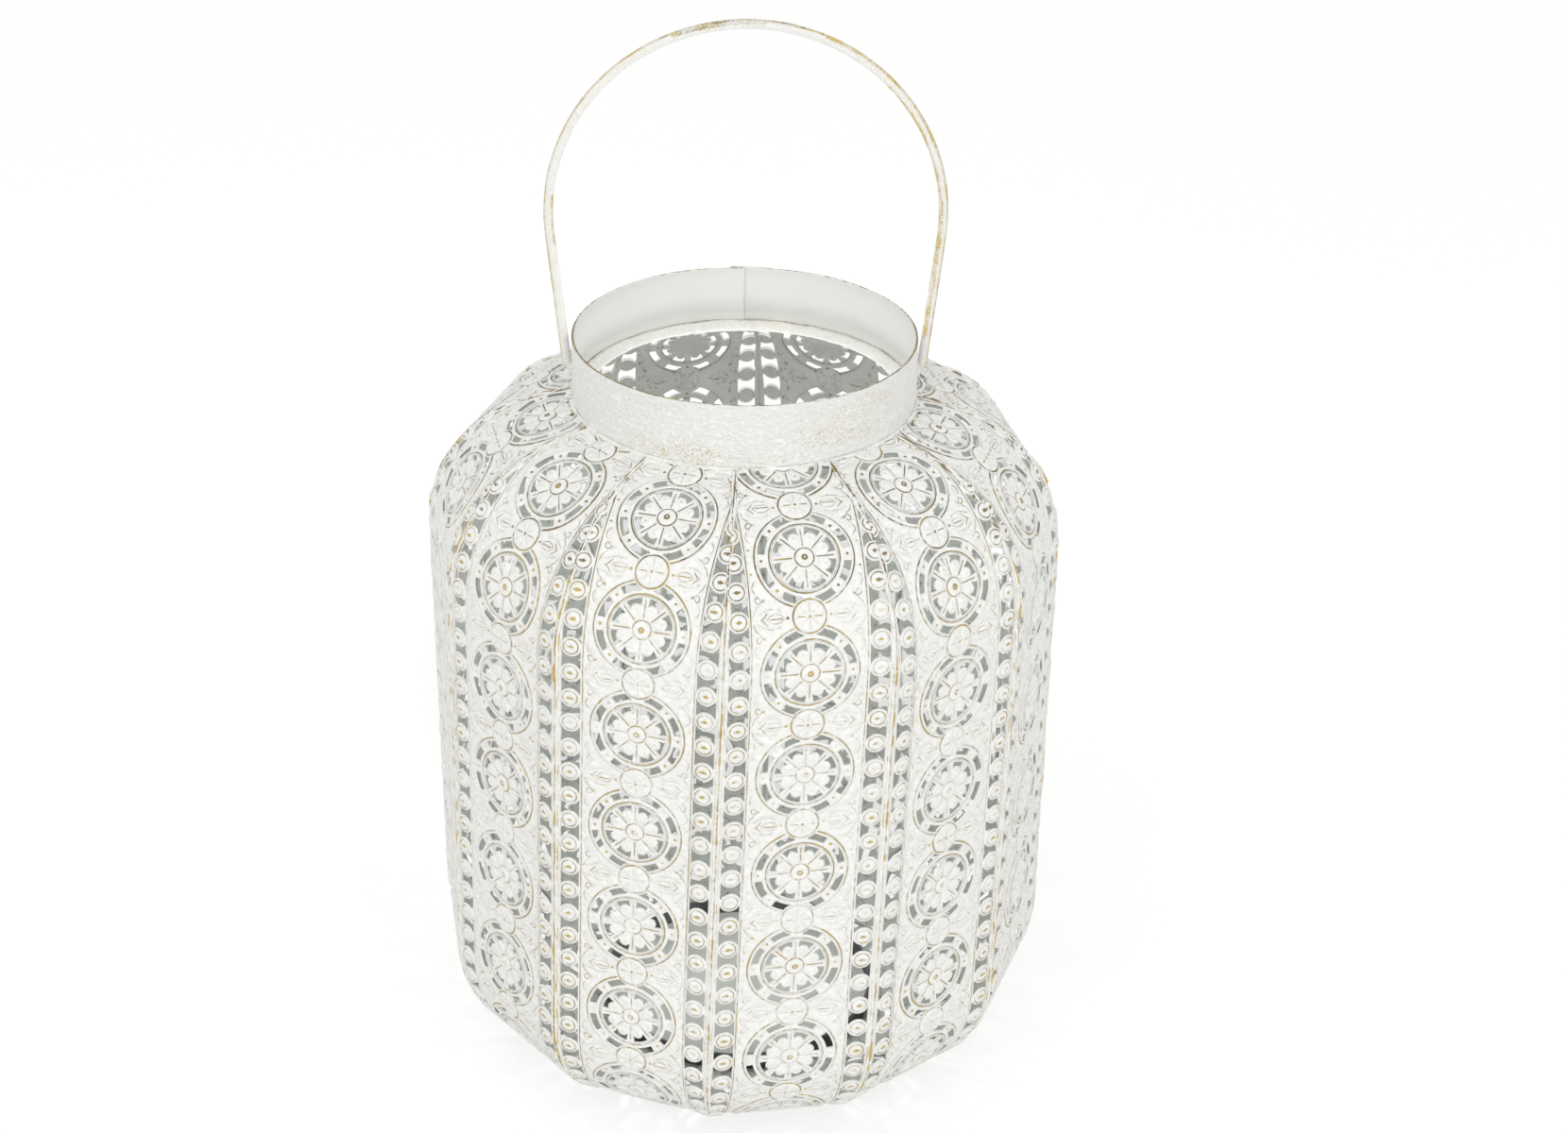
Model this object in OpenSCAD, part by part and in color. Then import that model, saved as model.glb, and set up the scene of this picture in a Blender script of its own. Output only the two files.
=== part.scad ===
/* [Body] */
// distance between two opposite flat sides of the body
across_flats = 230; // [180:1:320]
// thickness of the sheet strips
sheet = 0.8; // [0.6:0.1:1.2]
// height of the flat wall between the two bends
wall_height = 158; // [120:1:240]
// outside radius of the bend at the shoulder
shoulder_bend = 57.5; // [45:0.5:65]
// angle of the bend at the shoulder
shoulder_sweep = 75; // [62:1:80]
// outside radius of the bend at the foot
foot_bend = 54; // [40:1:58]
// how far the whole ring of strips is turned from the handle
body_turn = 10; // [0:1:30]

/* [Pattern] */
// length of one repeat, from rosette to rosette
rosette_pitch = 41; // [36:0.5:48]
// radius of the outer line of a rosette
rosette_radius = 17.7; // [14:0.1:19]
// radius of the small disc between two rosettes
medallion_radius = 5.9; // [4:0.1:7]
// middle of a bead column to the seam beside it
bead_inset = 5.8; // [5:0.1:8]
// width of the pierced slot that holds a bead column
bead_slot = 7.3; // [5:0.1:8]
// height of the pressed relief over the sheet
relief = 0.4; // [0.2:0.1:0.8]

/* [Neck] */
// outside radius of the neck band
neck_radius = 63.5; // [50:0.5:70]
// height of the neck band
neck_height = 25.9; // [18:0.1:50]
// thickness of the neck band and of the flat part of the shoulder ring
band_sheet = 1; // [0.8:0.1:2]
// how far the lip of the shoulder ring reaches into the neck
lip_reach = 6; // [2:0.5:10]

/* [Handle] */
// diameter of the handle wire
wire_diameter = 3.5; // [3:0.1:6]
// how far the arch reaches out past the ends of the handle on each side
arch_spread = 5.4; // [2:0.1:12]
// height of the middle of the arch over the neck rim
arch_rise = 46; // [30:1:90]
// length of the handle's ends that lies on the neck band, under its rim
end_drop = 10.5; // [6:0.5:12]

/* [Floor] */
// radius of the round floor plate
floor_radius = 60; // [50:1:62]
// thickness of the floor plate
floor_sheet = 1; // [0.8:0.1:2]
// middle radius of the low rim that stands on the floor
rim_radius = 54; // [30:1:56]
// height of the low rim
rim_height = 7; // [4:1:15]

/* [Hidden] */
$fn = 0;
$fa = 3;
$fs = 0.3;

white_paint = [0.94, 0.94, 0.92];
worn_paint = [0.88, 0.86, 0.82];
dark_metal = [0.16, 0.15, 0.14];

// where the pattern of each strip starts, as a share of one repeat
pattern_start_shares = [0.951, 0.405, 0.646, 0.12, 0.83, 0.51, 0.49, 0.3, 0.92, 0.661, 0.261, 0.283];
panel_count = len(pattern_start_shares);
panel_angle = 360 / panel_count;
half_angle = panel_angle / 2;

apothem = across_flats / 2;
half_width = apothem * tan(half_angle);
foot_z = foot_bend + floor_sheet;
shoulder_z = foot_z + wall_height;
bend_end_r = apothem - shoulder_bend * (1 - cos(shoulder_sweep));
bend_end_z = shoulder_z + shoulder_bend * sin(shoulder_sweep);
end_slope = tan(90 - shoulder_sweep);
foot_end_r = apothem - foot_bend;
foot_length = foot_bend * PI / 2;
shoulder_length = shoulder_bend * shoulder_sweep * PI / 180;

// the strips run straight in from the shoulder bend and stop fit_gap short of the neck band
fit_gap = sheet / 8;
strip_end_r = neck_radius + fit_gap;
hem_step = sheet / 8;
hem_lap = sheet;
tail_end_r = (neck_radius - band_sheet) * cos(half_angle);
tail_length = (bend_end_r - tail_end_r) / sin(shoulder_sweep);
tail_seen = (bend_end_r - strip_end_r) / sin(shoulder_sweep);
foot_tail = foot_end_r - floor_radius + 6 * sheet;

// shoulder ring: the flat part lies under the strips and carries the band, the lip stands inside the band
ring_lap = 2.2 * band_sheet;
ring_out_r = neck_radius + ring_lap;
ring_top_z = under_strip_z(ring_out_r) - fit_gap;
ring_under_z = ring_top_z - band_sheet;
lip_top_z = ring_top_z + 2.9 * band_sheet;
lip_round = (lip_top_z - ring_under_z) / 2;
lip_r = neck_radius - lip_reach + lip_round;
lip_out_r = neck_radius - band_sheet - fit_gap;
neck_top_z = ring_top_z + neck_height;
body_top_z = neck_top_z + neck_height;
lap_angle = 10;
lap_start = 87;

// handle: the wire stands solder_gap off the neck band, and its legs run up into the arch without a corner
wire_r = wire_diameter / 2;
arch_z = neck_top_z + arch_rise;
solder_gap = wire_diameter / 20;
leg_foot_x = neck_radius + solder_gap + wire_r;
leg_foot_z = neck_top_z - end_drop;
arch_radius = leg_foot_x + arch_spread;
foot_to_middle = norm([leg_foot_x, arch_z - leg_foot_z]);
leg_slant = atan2(arch_z - leg_foot_z, leg_foot_x) - acos(arch_radius / foot_to_middle);
leg_length = sqrt(pow(foot_to_middle, 2) - pow(arch_radius, 2));
leg_share = 0.97;
knee_share = 1.06;
leg_foot_length = 1.5 * wire_diameter;
weld_r = 0.95 * wire_diameter;
weld_z = leg_foot_z - leg_foot_length / 2;

// window sizes as shares of the rosette radius
outer_window_share = 0.79;
outer_depth_share = 0.141;
inner_window_share = 0.487;
inner_depth_share = 0.141;
inner_line_share = 0.71;
boss_share = 0.192;
bump_ring_share = 0.428;
bump_share = 0.125;
outer_window_angle = 27;
inner_window_angle = 30;
spoke_count = 8;
spoke_angle = 360 / spoke_count;
line_width = 1;
bead_step = rosette_pitch / 4;
bead_gap_share = 0.53;
bead_radius = bead_gap_share * bead_slot;
bead_x = half_width - bead_inset;
edge_strip = 1.2;
cut_in = 10 * sheet;
cut_out = 3 * sheet;
bead_cap_share = 0.68;
bead_rise = 1.5 * relief;
margin_line_x = bead_x - bead_slot / 2 - 0.7 * line_width;

// pressed lines stop where they run into the seams and short of the floor plate
line_end_r = (margin_line_x + line_width / 2) / tan(half_angle) - line_width;
top_line_sweep = acos(1 - (apothem - line_end_r) / shoulder_bend);
foot_line_r = floor_radius + 6 * sheet;
foot_line_sweep = acos(1 - (apothem - foot_line_r) / foot_bend);

// place along the strip: 0 is the lower end of the flat wall
function bend_angle(s) =
    s < 0 ? s / foot_bend * 180 / PI
    : s > wall_height ? min((s - wall_height) / shoulder_bend * 180 / PI, shoulder_sweep)
    : 0;
function under_strip_z(r) =
    r < bend_end_r ? bend_end_z + (bend_end_r - r) * end_slope - (sheet + hem_step) / sin(shoulder_sweep)
    : shoulder_z + sqrt(pow(shoulder_bend - sheet, 2) - pow(r - apothem + shoulder_bend, 2)) - hem_step;
function run_past(s) = max(0, s - wall_height - shoulder_length);
function strip_r(s) =
    s < 0 ? apothem - foot_bend * (1 - cos(bend_angle(s)))
    : apothem - shoulder_bend * (1 - cos(bend_angle(s))) - run_past(s) * sin(shoulder_sweep);
function strip_z(s) =
    s < 0 ? foot_z + foot_bend * sin(bend_angle(s))
    : s > wall_height ? shoulder_z + shoulder_bend * sin(bend_angle(s)) + run_past(s) * cos(shoulder_sweep)
    : foot_z + s;

// puts a flat shape, drawn with z outward and y up, onto the strip at place s
module on_strip(s) {
    translate([0, -strip_r(s), strip_z(s)])
        rotate([90 - bend_angle(s), 0, 0])
            children();
}

// wedge of the body that belongs to one strip, wider by margin at both seams
module wedge(margin) {
    reach = 2 * apothem;
    side = reach * tan(half_angle) + margin / cos(half_angle);
    translate([0, 0, -cut_out])
        linear_extrude(height = body_top_z + 2 * cut_out)
            polygon([[0, margin / sin(half_angle)], [side, -reach], [-side, -reach]]);
}

// side view of the wall and its two bends between two depths under the outer face, as r and z
module bend_outline(low, high, foot_sweep, top_sweep) {
    reach = 2 * apothem;
    translate([apothem - low, foot_z]) square([low - high, wall_height]);
    translate([apothem - shoulder_bend, shoulder_z])
        intersection() {
            difference() {
                circle(r = shoulder_bend - high);
                circle(r = shoulder_bend - low);
            }
            polygon([
                [0, 0], [reach, 0], [reach, reach * tan(top_sweep / 2)],
                [reach * cos(top_sweep), reach * sin(top_sweep)]
            ]);
        }
    translate([apothem - foot_bend, foot_z])
        intersection() {
            difference() {
                circle(r = foot_bend - high);
                circle(r = foot_bend - low);
            }
            polygon([
                [0, 0], [reach * cos(foot_sweep), -reach * sin(foot_sweep)],
                [reach, -reach * tan(foot_sweep / 2)], [reach, 0]
            ]);
        }
}

// side view of one whole strip: beside the neck band and on the floor plate it is straight
module strip_outline() {
    bend_outline(sheet, 0, 90, shoulder_sweep);
    translate([bend_end_r, bend_end_z])
        rotate(shoulder_sweep)
            translate([-sheet - hem_step, -hem_lap])
                square([sheet + 2 * hem_step, tail_length + hem_lap]);
    translate([foot_end_r - foot_tail, floor_sheet]) square([foot_tail, sheet]);
}

// makes a strip from x = from to x = to out of a side view
module across_strip(from, to) {
    translate([to, 0, 0])
        rotate([90, 0, -90])
            linear_extrude(height = to - from)
                children();
}

// one strip without holes
module strip_blank() {
    intersection() {
        across_strip(-half_width - sheet, half_width + sheet) strip_outline();
        wedge(0);
    }
}

// pressed pattern: two margin lines over the whole strip, the rest on the flat wall
module strip_relief(start) {
    last = ceil(wall_height / rosette_pitch);
    intersection() {
        for (side = [-1, 1])
            across_strip(side * margin_line_x - line_width / 2, side * margin_line_x + line_width / 2)
                bend_outline(sheet / 2, -relief, foot_line_sweep, top_line_sweep);
        wedge(0);
    }
    translate([0, -apothem, foot_z])
        rotate([90, 0, 0]) {
            translate([0, 0, -sheet / 2])
                linear_extrude(height = sheet / 2 + relief)
                    for (k = [-1 : last]) {
                        middle = start + k * rosette_pitch;
                        if (on_wall(middle, rosette_radius + line_width / 2))
                            translate([0, middle]) rosette_lines();
                        if (on_wall(middle + rosette_pitch / 2, medallion_radius))
                            translate([0, middle + rosette_pitch / 2]) circle(r = medallion_radius);
                    }
            for (k = [-1 : last], q = [0 : 3]) {
                middle = start + k * rosette_pitch + q * bead_step;
                if (on_wall(middle, bead_radius))
                    for (side = [-1, 1])
                        translate([side * bead_x, middle, 0]) bead_cap();
            }
        }
}

module rosette_lines() {
    for (r = [rosette_radius, inner_line_share * rosette_radius])
        difference() {
            circle(r = r + line_width / 2);
            circle(r = r - line_width / 2);
        }
    circle(r = boss_share * rosette_radius);
}

// low round top of one bead
module bead_cap() {
    cap_r = bead_cap_share * bead_radius;
    ball_r = (cap_r * cap_r + bead_rise * bead_rise) / (2 * bead_rise);
    intersection() {
        translate([0, 0, bead_rise - ball_r]) sphere(r = ball_r);
        translate([-bead_radius, -bead_radius, -sheet / 2]) cube([2 * bead_radius, 2 * bead_radius, sheet]);
    }
}

// window of a rosette, from r to r + depth: round sides on the flat wall, straight ones on a bend
module ring_window(r, depth, angle, at, round_sides) {
    reach = r + 2 * depth;
    if (round_sides)
        rotate(at)
            intersection() {
                difference() {
                    circle(r = r + depth);
                    circle(r = r);
                }
                polygon([
                    [0, 0],
                    [reach * cos(angle / 2), -reach * sin(angle / 2)],
                    [reach * cos(angle / 2), reach * sin(angle / 2)]
                ]);
            }
    else
        rotate(at)
            polygon([
                [r * cos(angle / 2), -r * sin(angle / 2)],
                [(r + depth) * cos(angle / 2), -(r + depth) * sin(angle / 2)],
                [(r + depth) * cos(angle / 2), (r + depth) * sin(angle / 2)],
                [r * cos(angle / 2), r * sin(angle / 2)]
            ]);
}

module rosette_windows(round_sides) {
    difference() {
        union() {
            for (k = [0 : spoke_count - 1]) {
                ring_window(outer_window_share * rosette_radius, outer_depth_share * rosette_radius,
                            outer_window_angle, spoke_angle * (k + 0.5), round_sides);
                ring_window(inner_window_share * rosette_radius, inner_depth_share * rosette_radius,
                            inner_window_angle, spoke_angle * (k + 0.5), round_sides);
            }
        }
        if (round_sides)
            for (k = [0 : spoke_count - 1])
                rotate(spoke_angle * (k + 0.5))
                    translate([bump_ring_share * rosette_radius, 0])
                        circle(r = bump_share * rosette_radius);
        for (side = [-1, 1])
            translate([0, side * rosette_pitch / 2])
                circle(r = medallion_radius + line_width / 2, $fn = round_sides ? 0 : spoke_count);
    }
}

// hole between two beads, in both columns
module bead_windows(round_sides) {
    side_y = bead_step / 2 - sqrt(bead_radius * bead_radius - bead_slot * bead_slot / 4);
    middle_y = bead_step / 2 - bead_radius;
    for (side = [-1, 1])
        translate([side * bead_x, 0])
            if (round_sides)
                difference() {
                    square([bead_slot, bead_step], center = true);
                    for (end = [-1, 1])
                        translate([0, end * bead_step / 2]) circle(r = bead_radius);
                }
            else
                polygon([
                    [-bead_slot / 2, -side_y], [0, -middle_y], [bead_slot / 2, -side_y],
                    [bead_slot / 2, side_y], [0, middle_y], [-bead_slot / 2, side_y]
                ]);
}

// part of the strip's own plane that lies inside its two seams, less a margin
module seam_clip(s, low, high) {
    tilt = sin(bend_angle(s));
    function half_at(y) = (strip_r(s) - y * abs(tilt)) * tan(half_angle) - edge_strip;
    turned = s < 0 ? -1 : 1;
    scale([1, turned])
        polygon([[-half_at(low), low], [half_at(low), low], [half_at(high), high], [-half_at(high), high]]);
}

// windows on the flat wall are cut in one go, those on the bends one repeat at a time
module strip_windows(start) {
    first = -ceil(foot_length / rosette_pitch) - 1;
    last = ceil((wall_height + shoulder_length + tail_length) / rosette_pitch);
    translate([0, -apothem - cut_out, foot_z])
        rotate([90, 0, 0])
            translate([0, 0, -cut_in])
                linear_extrude(height = cut_in)
                    for (k = [first : last]) {
                        middle = start + k * rosette_pitch;
                        if (on_wall(middle, rosette_radius))
                            translate([0, middle]) rosette_windows(true);
                        for (q = [0.5 : 3.5])
                            if (on_wall(middle + q * bead_step, bead_step / 2))
                                translate([0, middle + q * bead_step]) bead_windows(true);
                    }
    for (k = [first : last]) {
        middle = start + k * rosette_pitch;
        if (on_bend(middle, rosette_radius))
            bend_cut(middle, rosette_radius) rosette_windows(false);
        for (q = [0.5 : 3.5])
            if (on_bend(middle + q * bead_step, bead_step / 2))
                bend_cut(middle + q * bead_step, bead_step) bead_windows(false);
    }
}

function on_wall(s, reach) = s >= reach && s <= wall_height - reach;
function on_bend(s, reach) =
    !on_wall(s, reach) && s > -foot_length + reach / 2
    && s < wall_height + shoulder_length + tail_seen + reach / 2;

// cuts one repeat on a bend; a narrow edge of sheet stays whole along the seams and along the neck band
module bend_cut(s, reach) {
    difference() {
        on_strip(s)
            translate([0, 0, -cut_in])
                linear_extrude(height = cut_in + cut_out)
                    intersection() {
                        children();
                        seam_clip(s, -reach, reach);
                    }
        if (strip_r(s) < strip_end_r + 2 * reach) neck_space(edge_strip);
    }
}

// the room that the neck band and the lip take up in the strips, wider by margin
module neck_space(margin) {
    translate([0, 0, shoulder_z]) cylinder(r = strip_end_r + margin, h = body_top_z - shoulder_z);
}

module panel(index) {
    start = pattern_start_shares[index] * rosette_pitch;
    color(white_paint)
        rotate(body_turn + index * panel_angle)
            difference() {
                union() {
                    strip_blank();
                    strip_relief(start);
                }
                strip_windows(start);
                neck_space(0);
            }
}

module panel_01() { panel(0); }
module panel_02() { panel(1); }
module panel_03() { panel(2); }
module panel_04() { panel(3); }
module panel_05() { panel(4); }
module panel_06() { panel(5); }
module panel_07() { panel(6); }
module panel_08() { panel(7); }
module panel_09() { panel(8); }
module panel_10() { panel(9); }
module panel_11() { panel(10); }
module panel_12() { panel(11); }

// flat ring under the upper ends of the strips, with a thick round lip inside the neck band
module shoulder_ring() {
    color(white_paint)
        rotate_extrude() {
            polygon([
                [lip_r, ring_under_z], [ring_out_r, ring_under_z], [ring_out_r, ring_top_z],
                [lip_out_r, ring_top_z], [lip_out_r, lip_top_z], [lip_r, lip_top_z]
            ]);
            translate([lip_r, lip_top_z - lip_round]) circle(r = lip_round);
        }
}

// plain strip rolled round; its ends lap at the back
module neck_band() {
    color(white_paint)
        union() {
            rotate_extrude()
                translate([neck_radius - band_sheet, ring_top_z]) square([band_sheet, neck_height]);
            rotate(lap_start)
                rotate_extrude(angle = lap_angle)
                    translate([neck_radius - band_sheet / 2, lip_top_z])
                        square([1.3 * band_sheet, neck_top_z - lip_top_z - band_sheet]);
        }
}

// the leg is a hair thinner than the arch, which it enters, and meets its foot in a round knee
module handle_leg() {
    translate([leg_foot_x, 0, leg_foot_z - leg_foot_length]) cylinder(r = wire_r, h = leg_foot_length);
    translate([leg_foot_x, 0, leg_foot_z]) {
        sphere(r = knee_share * wire_r);
        rotate([0, leg_slant, 0])
            cylinder(r = leg_share * wire_r, h = leg_length + wire_r / 2);
    }
}

module wire() {
    translate([0, 0, arch_z])
        rotate([90, 0, 0])
            rotate(-leg_slant)
                rotate_extrude(angle = 180 + 2 * leg_slant)
                    translate([arch_radius, 0]) circle(r = wire_r);
    handle_leg();
    mirror([1, 0, 0]) handle_leg();
}

module handle() {
    color(worn_paint) wire();
}

// lump of solder around the end of the wire, against the neck band
module weld(side) {
    color(worn_paint)
        difference() {
            translate([side * leg_foot_x, 0, weld_z]) sphere(r = weld_r);
            translate([0, 0, ring_top_z]) cylinder(r = neck_radius, h = neck_height);
            translate([side * leg_foot_x, 0, leg_foot_z - leg_foot_length])
                cylinder(r = wire_r, h = 2 * leg_foot_length);
        }
}

module weld_left() { weld(-1); }
module weld_right() { weld(1); }

module base_plate() {
    color(dark_metal) cylinder(r = floor_radius, h = floor_sheet);
}

// low rim that stands on the floor plate
module candle_rim() {
    color(dark_metal)
        translate([0, 0, floor_sheet])
            rotate_extrude()
                translate([rim_radius - band_sheet / 2, 0]) square([band_sheet, rim_height]);
}

panel_01();
panel_02();
panel_03();
panel_04();
panel_05();
panel_06();
panel_07();
panel_08();
panel_09();
panel_10();
panel_11();
panel_12();
shoulder_ring();
neck_band();
handle();
weld_left();
weld_right();
base_plate();
candle_rim();
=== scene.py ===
import math

import bmesh
import bpy
import numpy as np
from mathutils import Matrix, Vector, geometry


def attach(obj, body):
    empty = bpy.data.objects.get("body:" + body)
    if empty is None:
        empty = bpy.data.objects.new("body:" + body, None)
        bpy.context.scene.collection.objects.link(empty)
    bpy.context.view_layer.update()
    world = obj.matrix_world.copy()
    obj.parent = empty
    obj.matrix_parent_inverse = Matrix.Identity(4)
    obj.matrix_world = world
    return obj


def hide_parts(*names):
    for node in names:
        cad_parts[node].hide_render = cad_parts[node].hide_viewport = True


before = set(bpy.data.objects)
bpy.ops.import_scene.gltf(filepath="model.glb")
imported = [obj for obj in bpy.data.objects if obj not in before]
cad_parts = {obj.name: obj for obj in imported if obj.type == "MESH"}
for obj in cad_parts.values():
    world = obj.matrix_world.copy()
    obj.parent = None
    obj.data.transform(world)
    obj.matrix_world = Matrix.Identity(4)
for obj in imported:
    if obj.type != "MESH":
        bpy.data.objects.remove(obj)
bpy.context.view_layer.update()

MM = 0.001

# Viewpoint: above the handle, looking down on the body from slightly left of its middle, with a long lens.
# The values are in millimetres and degrees, for a picture 1660 wide and 1200 high.
PICTURE_WIDTH = 1660
FOCAL_LENGTH_PX = 3095.97
SENSOR_WIDTH = 36
VIEW_REACH = 20
CAMERA_PLACE = Vector((15.83, -983.5, 725.5))
CAMERA_PITCH = 28.18
CAMERA_ROLL = 1.05
CAMERA_TURN = -1.75


def put_in_scene(name, data):
    """a new object at the origin, which carries a mesh, a lamp or a camera"""
    thing = bpy.data.objects.new(name, data)
    bpy.context.scene.collection.objects.link(thing)
    return thing


camera_data = bpy.data.cameras.new("viewpoint")
camera_data.sensor_fit = "HORIZONTAL"
camera_data.sensor_width = SENSOR_WIDTH
camera_data.lens = SENSOR_WIDTH * FOCAL_LENGTH_PX / PICTURE_WIDTH
camera_data.clip_end = VIEW_REACH
camera = put_in_scene("viewpoint", camera_data)
pitch = math.radians(CAMERA_PITCH)
roll = math.radians(CAMERA_ROLL)
look = Vector((0, math.cos(pitch), -math.sin(pitch)))
level = Vector((1, 0, 0))
upward = level.cross(look)
right = level * math.cos(roll) + upward * math.sin(roll)
top = upward * math.cos(roll) - level * math.sin(roll)
view = Matrix((right, top, -look)).transposed().to_4x4()
view.translation = CAMERA_PLACE * MM
camera.matrix_world = Matrix.Rotation(math.radians(CAMERA_TURN), 4, "Z") @ view
bpy.context.scene.camera = camera
bpy.context.scene.view_settings.view_transform = "Standard"


# Surroundings: a plain white floor under a soft white sky, with three large soft lamps and three small ones.
# The floor shows as white to the camera, keeps a faint shadow round the foot and has a painted shadow behind
# the lantern. Sizes are in metres here.
def new_material(name):
    material = bpy.data.materials.new(name)
    material.use_nodes = True
    material.node_tree.nodes.clear()
    return material


def add_node(tree, kind, **values):
    node = tree.nodes.new(kind)
    for name, value in values.items():
        setattr(node, name, value)
    return node


def maths(tree, operation, first, second=0.0, third=0.0):
    node = add_node(tree, "ShaderNodeMath", operation=operation)
    for slot, value in enumerate((first, second, third)):
        if isinstance(value, (int, float)):
            node.inputs[slot].default_value = value
        else:
            tree.links.new(value, node.inputs[slot])
    return node.outputs[0]


def ramp(tree, value, low, high):
    node = add_node(tree, "ShaderNodeMapRange", interpolation_type="SMOOTHSTEP")
    tree.links.new(value, node.inputs["Value"])
    node.inputs["From Min"].default_value = low
    node.inputs["From Max"].default_value = high
    return node.outputs["Result"]


def seen_directly(tree):
    """1 for a ray from the camera, a reflection or a view through glass, and 0 for plain lighting"""
    path = add_node(tree, "ShaderNodeLightPath")
    seen = path.outputs["Is Camera Ray"]
    for name in ("Is Glossy Ray", "Is Transmission Ray"):
        seen = maths(tree, "MAXIMUM", seen, path.outputs[name])
    return seen


def show(tree, shader, output="ShaderNodeOutputMaterial"):
    tree.links.new(shader.outputs[0], add_node(tree, output).inputs["Surface"])


def mix_shaders(tree, share, first, second):
    node = add_node(tree, "ShaderNodeMixShader")
    tree.links.new(share, node.inputs["Fac"])
    tree.links.new(first.outputs[0], node.inputs[1])
    tree.links.new(second.outputs[0], node.inputs[2])
    return node


SKY_STRENGTH = 0.79
SKY_COLOUR = (1, 1, 0.985, 1)
world = bpy.data.worlds.new("soft_sky")
bpy.context.scene.world = world
world.use_nodes = True
sky = world.node_tree
sky.nodes.clear()
sky_light = add_node(sky, "ShaderNodeBackground")
sky_light.inputs["Color"].default_value = SKY_COLOUR
sky_light.inputs["Strength"].default_value = SKY_STRENGTH
sky_seen = add_node(sky, "ShaderNodeBackground")
sky_seen.inputs["Color"].default_value = (1, 1, 1, 1)
sky_seen.inputs["Strength"].default_value = 1
show(sky, mix_shaders(sky, seen_directly(sky), sky_light, sky_seen), "ShaderNodeOutputWorld")


def add_lamp(name, kind, place, power):
    data = bpy.data.lights.new(name, kind)
    data.energy = power
    lamp = put_in_scene(name, data)
    lamp.location = place
    return lamp


# each large lamp is (name, place, width, power), and all point at the middle of the body
LAMP_AIM = Vector((0, 0, 0.13))
for name, place, width, power in (
    ("lamp_left", (-1.3, -1.9, 0.75), 1.5, 10),
    ("lamp_right", (1.4, -1.7, 0.65), 1.5, 11),
    ("lamp_above", (-0.5, -0.6, 2.2), 1.4, 5),
):
    lamp = add_lamp(name, "AREA", place, power)
    lamp.data.shape = "DISK"
    lamp.data.size = width
    lamp.rotation_euler = (LAMP_AIM - Vector(place)).to_track_quat("-Z", "Y").to_euler()

# small lamps on the axis keep the inside of the body and the neck even
FILL_RADIUS = 0.02
for name, height, power in (("fill_low", 0.085, 0.2), ("fill_high", 0.19, 0.2), ("fill_neck", 0.277, 0.045)):
    lamp = add_lamp(name, "POINT", (0, 0, height), power)
    lamp.data.shadow_soft_size = FILL_RADIUS
    lamp.visible_camera = False
    lamp.visible_glossy = False

FLOOR_REACH = 6
FLOOR_COLOUR = (0.8, 0.8, 0.8, 1)
FLOOR_SEEN_COLOUR = (0.32, 0.32, 0.32, 1)
FLOOR_GLOW = 0.72
# the painted shadow behind is an oval with a soft edge, and darker than the open floor by its depth
SHADE_PLACE = (0, 0.29, 0)
SHADE_SIZE = (0.16, 0.25, 1)
SHADE_EDGE = (0.6, 1.0)
SHADE_DEPTH = 0.26
floor_mesh = bpy.data.meshes.new("floor")
floor_mesh.from_pydata(
    [(-FLOOR_REACH, -FLOOR_REACH, 0), (FLOOR_REACH, -FLOOR_REACH, 0),
     (FLOOR_REACH, FLOOR_REACH, 0), (-FLOOR_REACH, FLOOR_REACH, 0)], [], [(0, 1, 2, 3)])
floor = put_in_scene("floor", floor_mesh)
floor_material = new_material("white_floor")
floor_tree = floor_material.node_tree
floor_matte = add_node(floor_tree, "ShaderNodeBsdfDiffuse")
floor_matte.inputs["Color"].default_value = FLOOR_COLOUR
floor_part = add_node(floor_tree, "ShaderNodeBsdfDiffuse")
floor_part.inputs["Color"].default_value = FLOOR_SEEN_COLOUR
floor_glow = add_node(floor_tree, "ShaderNodeEmission")

# just behind the lantern, where the floor is seen only through the openings, a painted shadow darkens its
# glow
behind = add_node(floor_tree, "ShaderNodeMapping", vector_type="TEXTURE")
behind.inputs["Location"].default_value = SHADE_PLACE
behind.inputs["Scale"].default_value = SHADE_SIZE
floor_tree.links.new(add_node(floor_tree, "ShaderNodeTexCoord").outputs["Object"], behind.inputs["Vector"])
off_middle = add_node(floor_tree, "ShaderNodeVectorMath", operation="LENGTH")
floor_tree.links.new(behind.outputs[0], off_middle.inputs[0])
open_floor = ramp(floor_tree, off_middle.outputs["Value"], *SHADE_EDGE)
glow = maths(floor_tree, "MULTIPLY_ADD", open_floor, SHADE_DEPTH, FLOOR_GLOW - SHADE_DEPTH)
floor_tree.links.new(glow, floor_glow.inputs["Strength"])
floor_seen = add_node(floor_tree, "ShaderNodeAddShader")
floor_tree.links.new(floor_part.outputs[0], floor_seen.inputs[0])
floor_tree.links.new(floor_glow.outputs[0], floor_seen.inputs[1])
show(floor_tree, mix_shaders(floor_tree, seen_directly(floor_tree), floor_matte, floor_seen))
floor_mesh.materials.append(floor_material)


# Paint: matte white over a brown and gold ground coat, rubbed through on lines and edges, with painted shade
# along the lines.
# The group is shared by every white piece; each gives its own share of wear and speckle.
def group_socket(tree, name, kind, value=None, output=False):
    side = "OUTPUT" if output else "INPUT"
    socket = tree.interface.new_socket(name, in_out=side, socket_type="NodeSocket" + kind)
    if value is not None:
        socket.default_value = value


def noise(tree, place, scale, detail=2.0, rough=0.5):
    node = add_node(tree, "ShaderNodeTexNoise")
    tree.links.new(place, node.inputs["Vector"])
    node.inputs["Scale"].default_value = scale
    node.inputs["Detail"].default_value = detail
    node.inputs["Roughness"].default_value = rough
    return node.outputs["Fac"]


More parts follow.
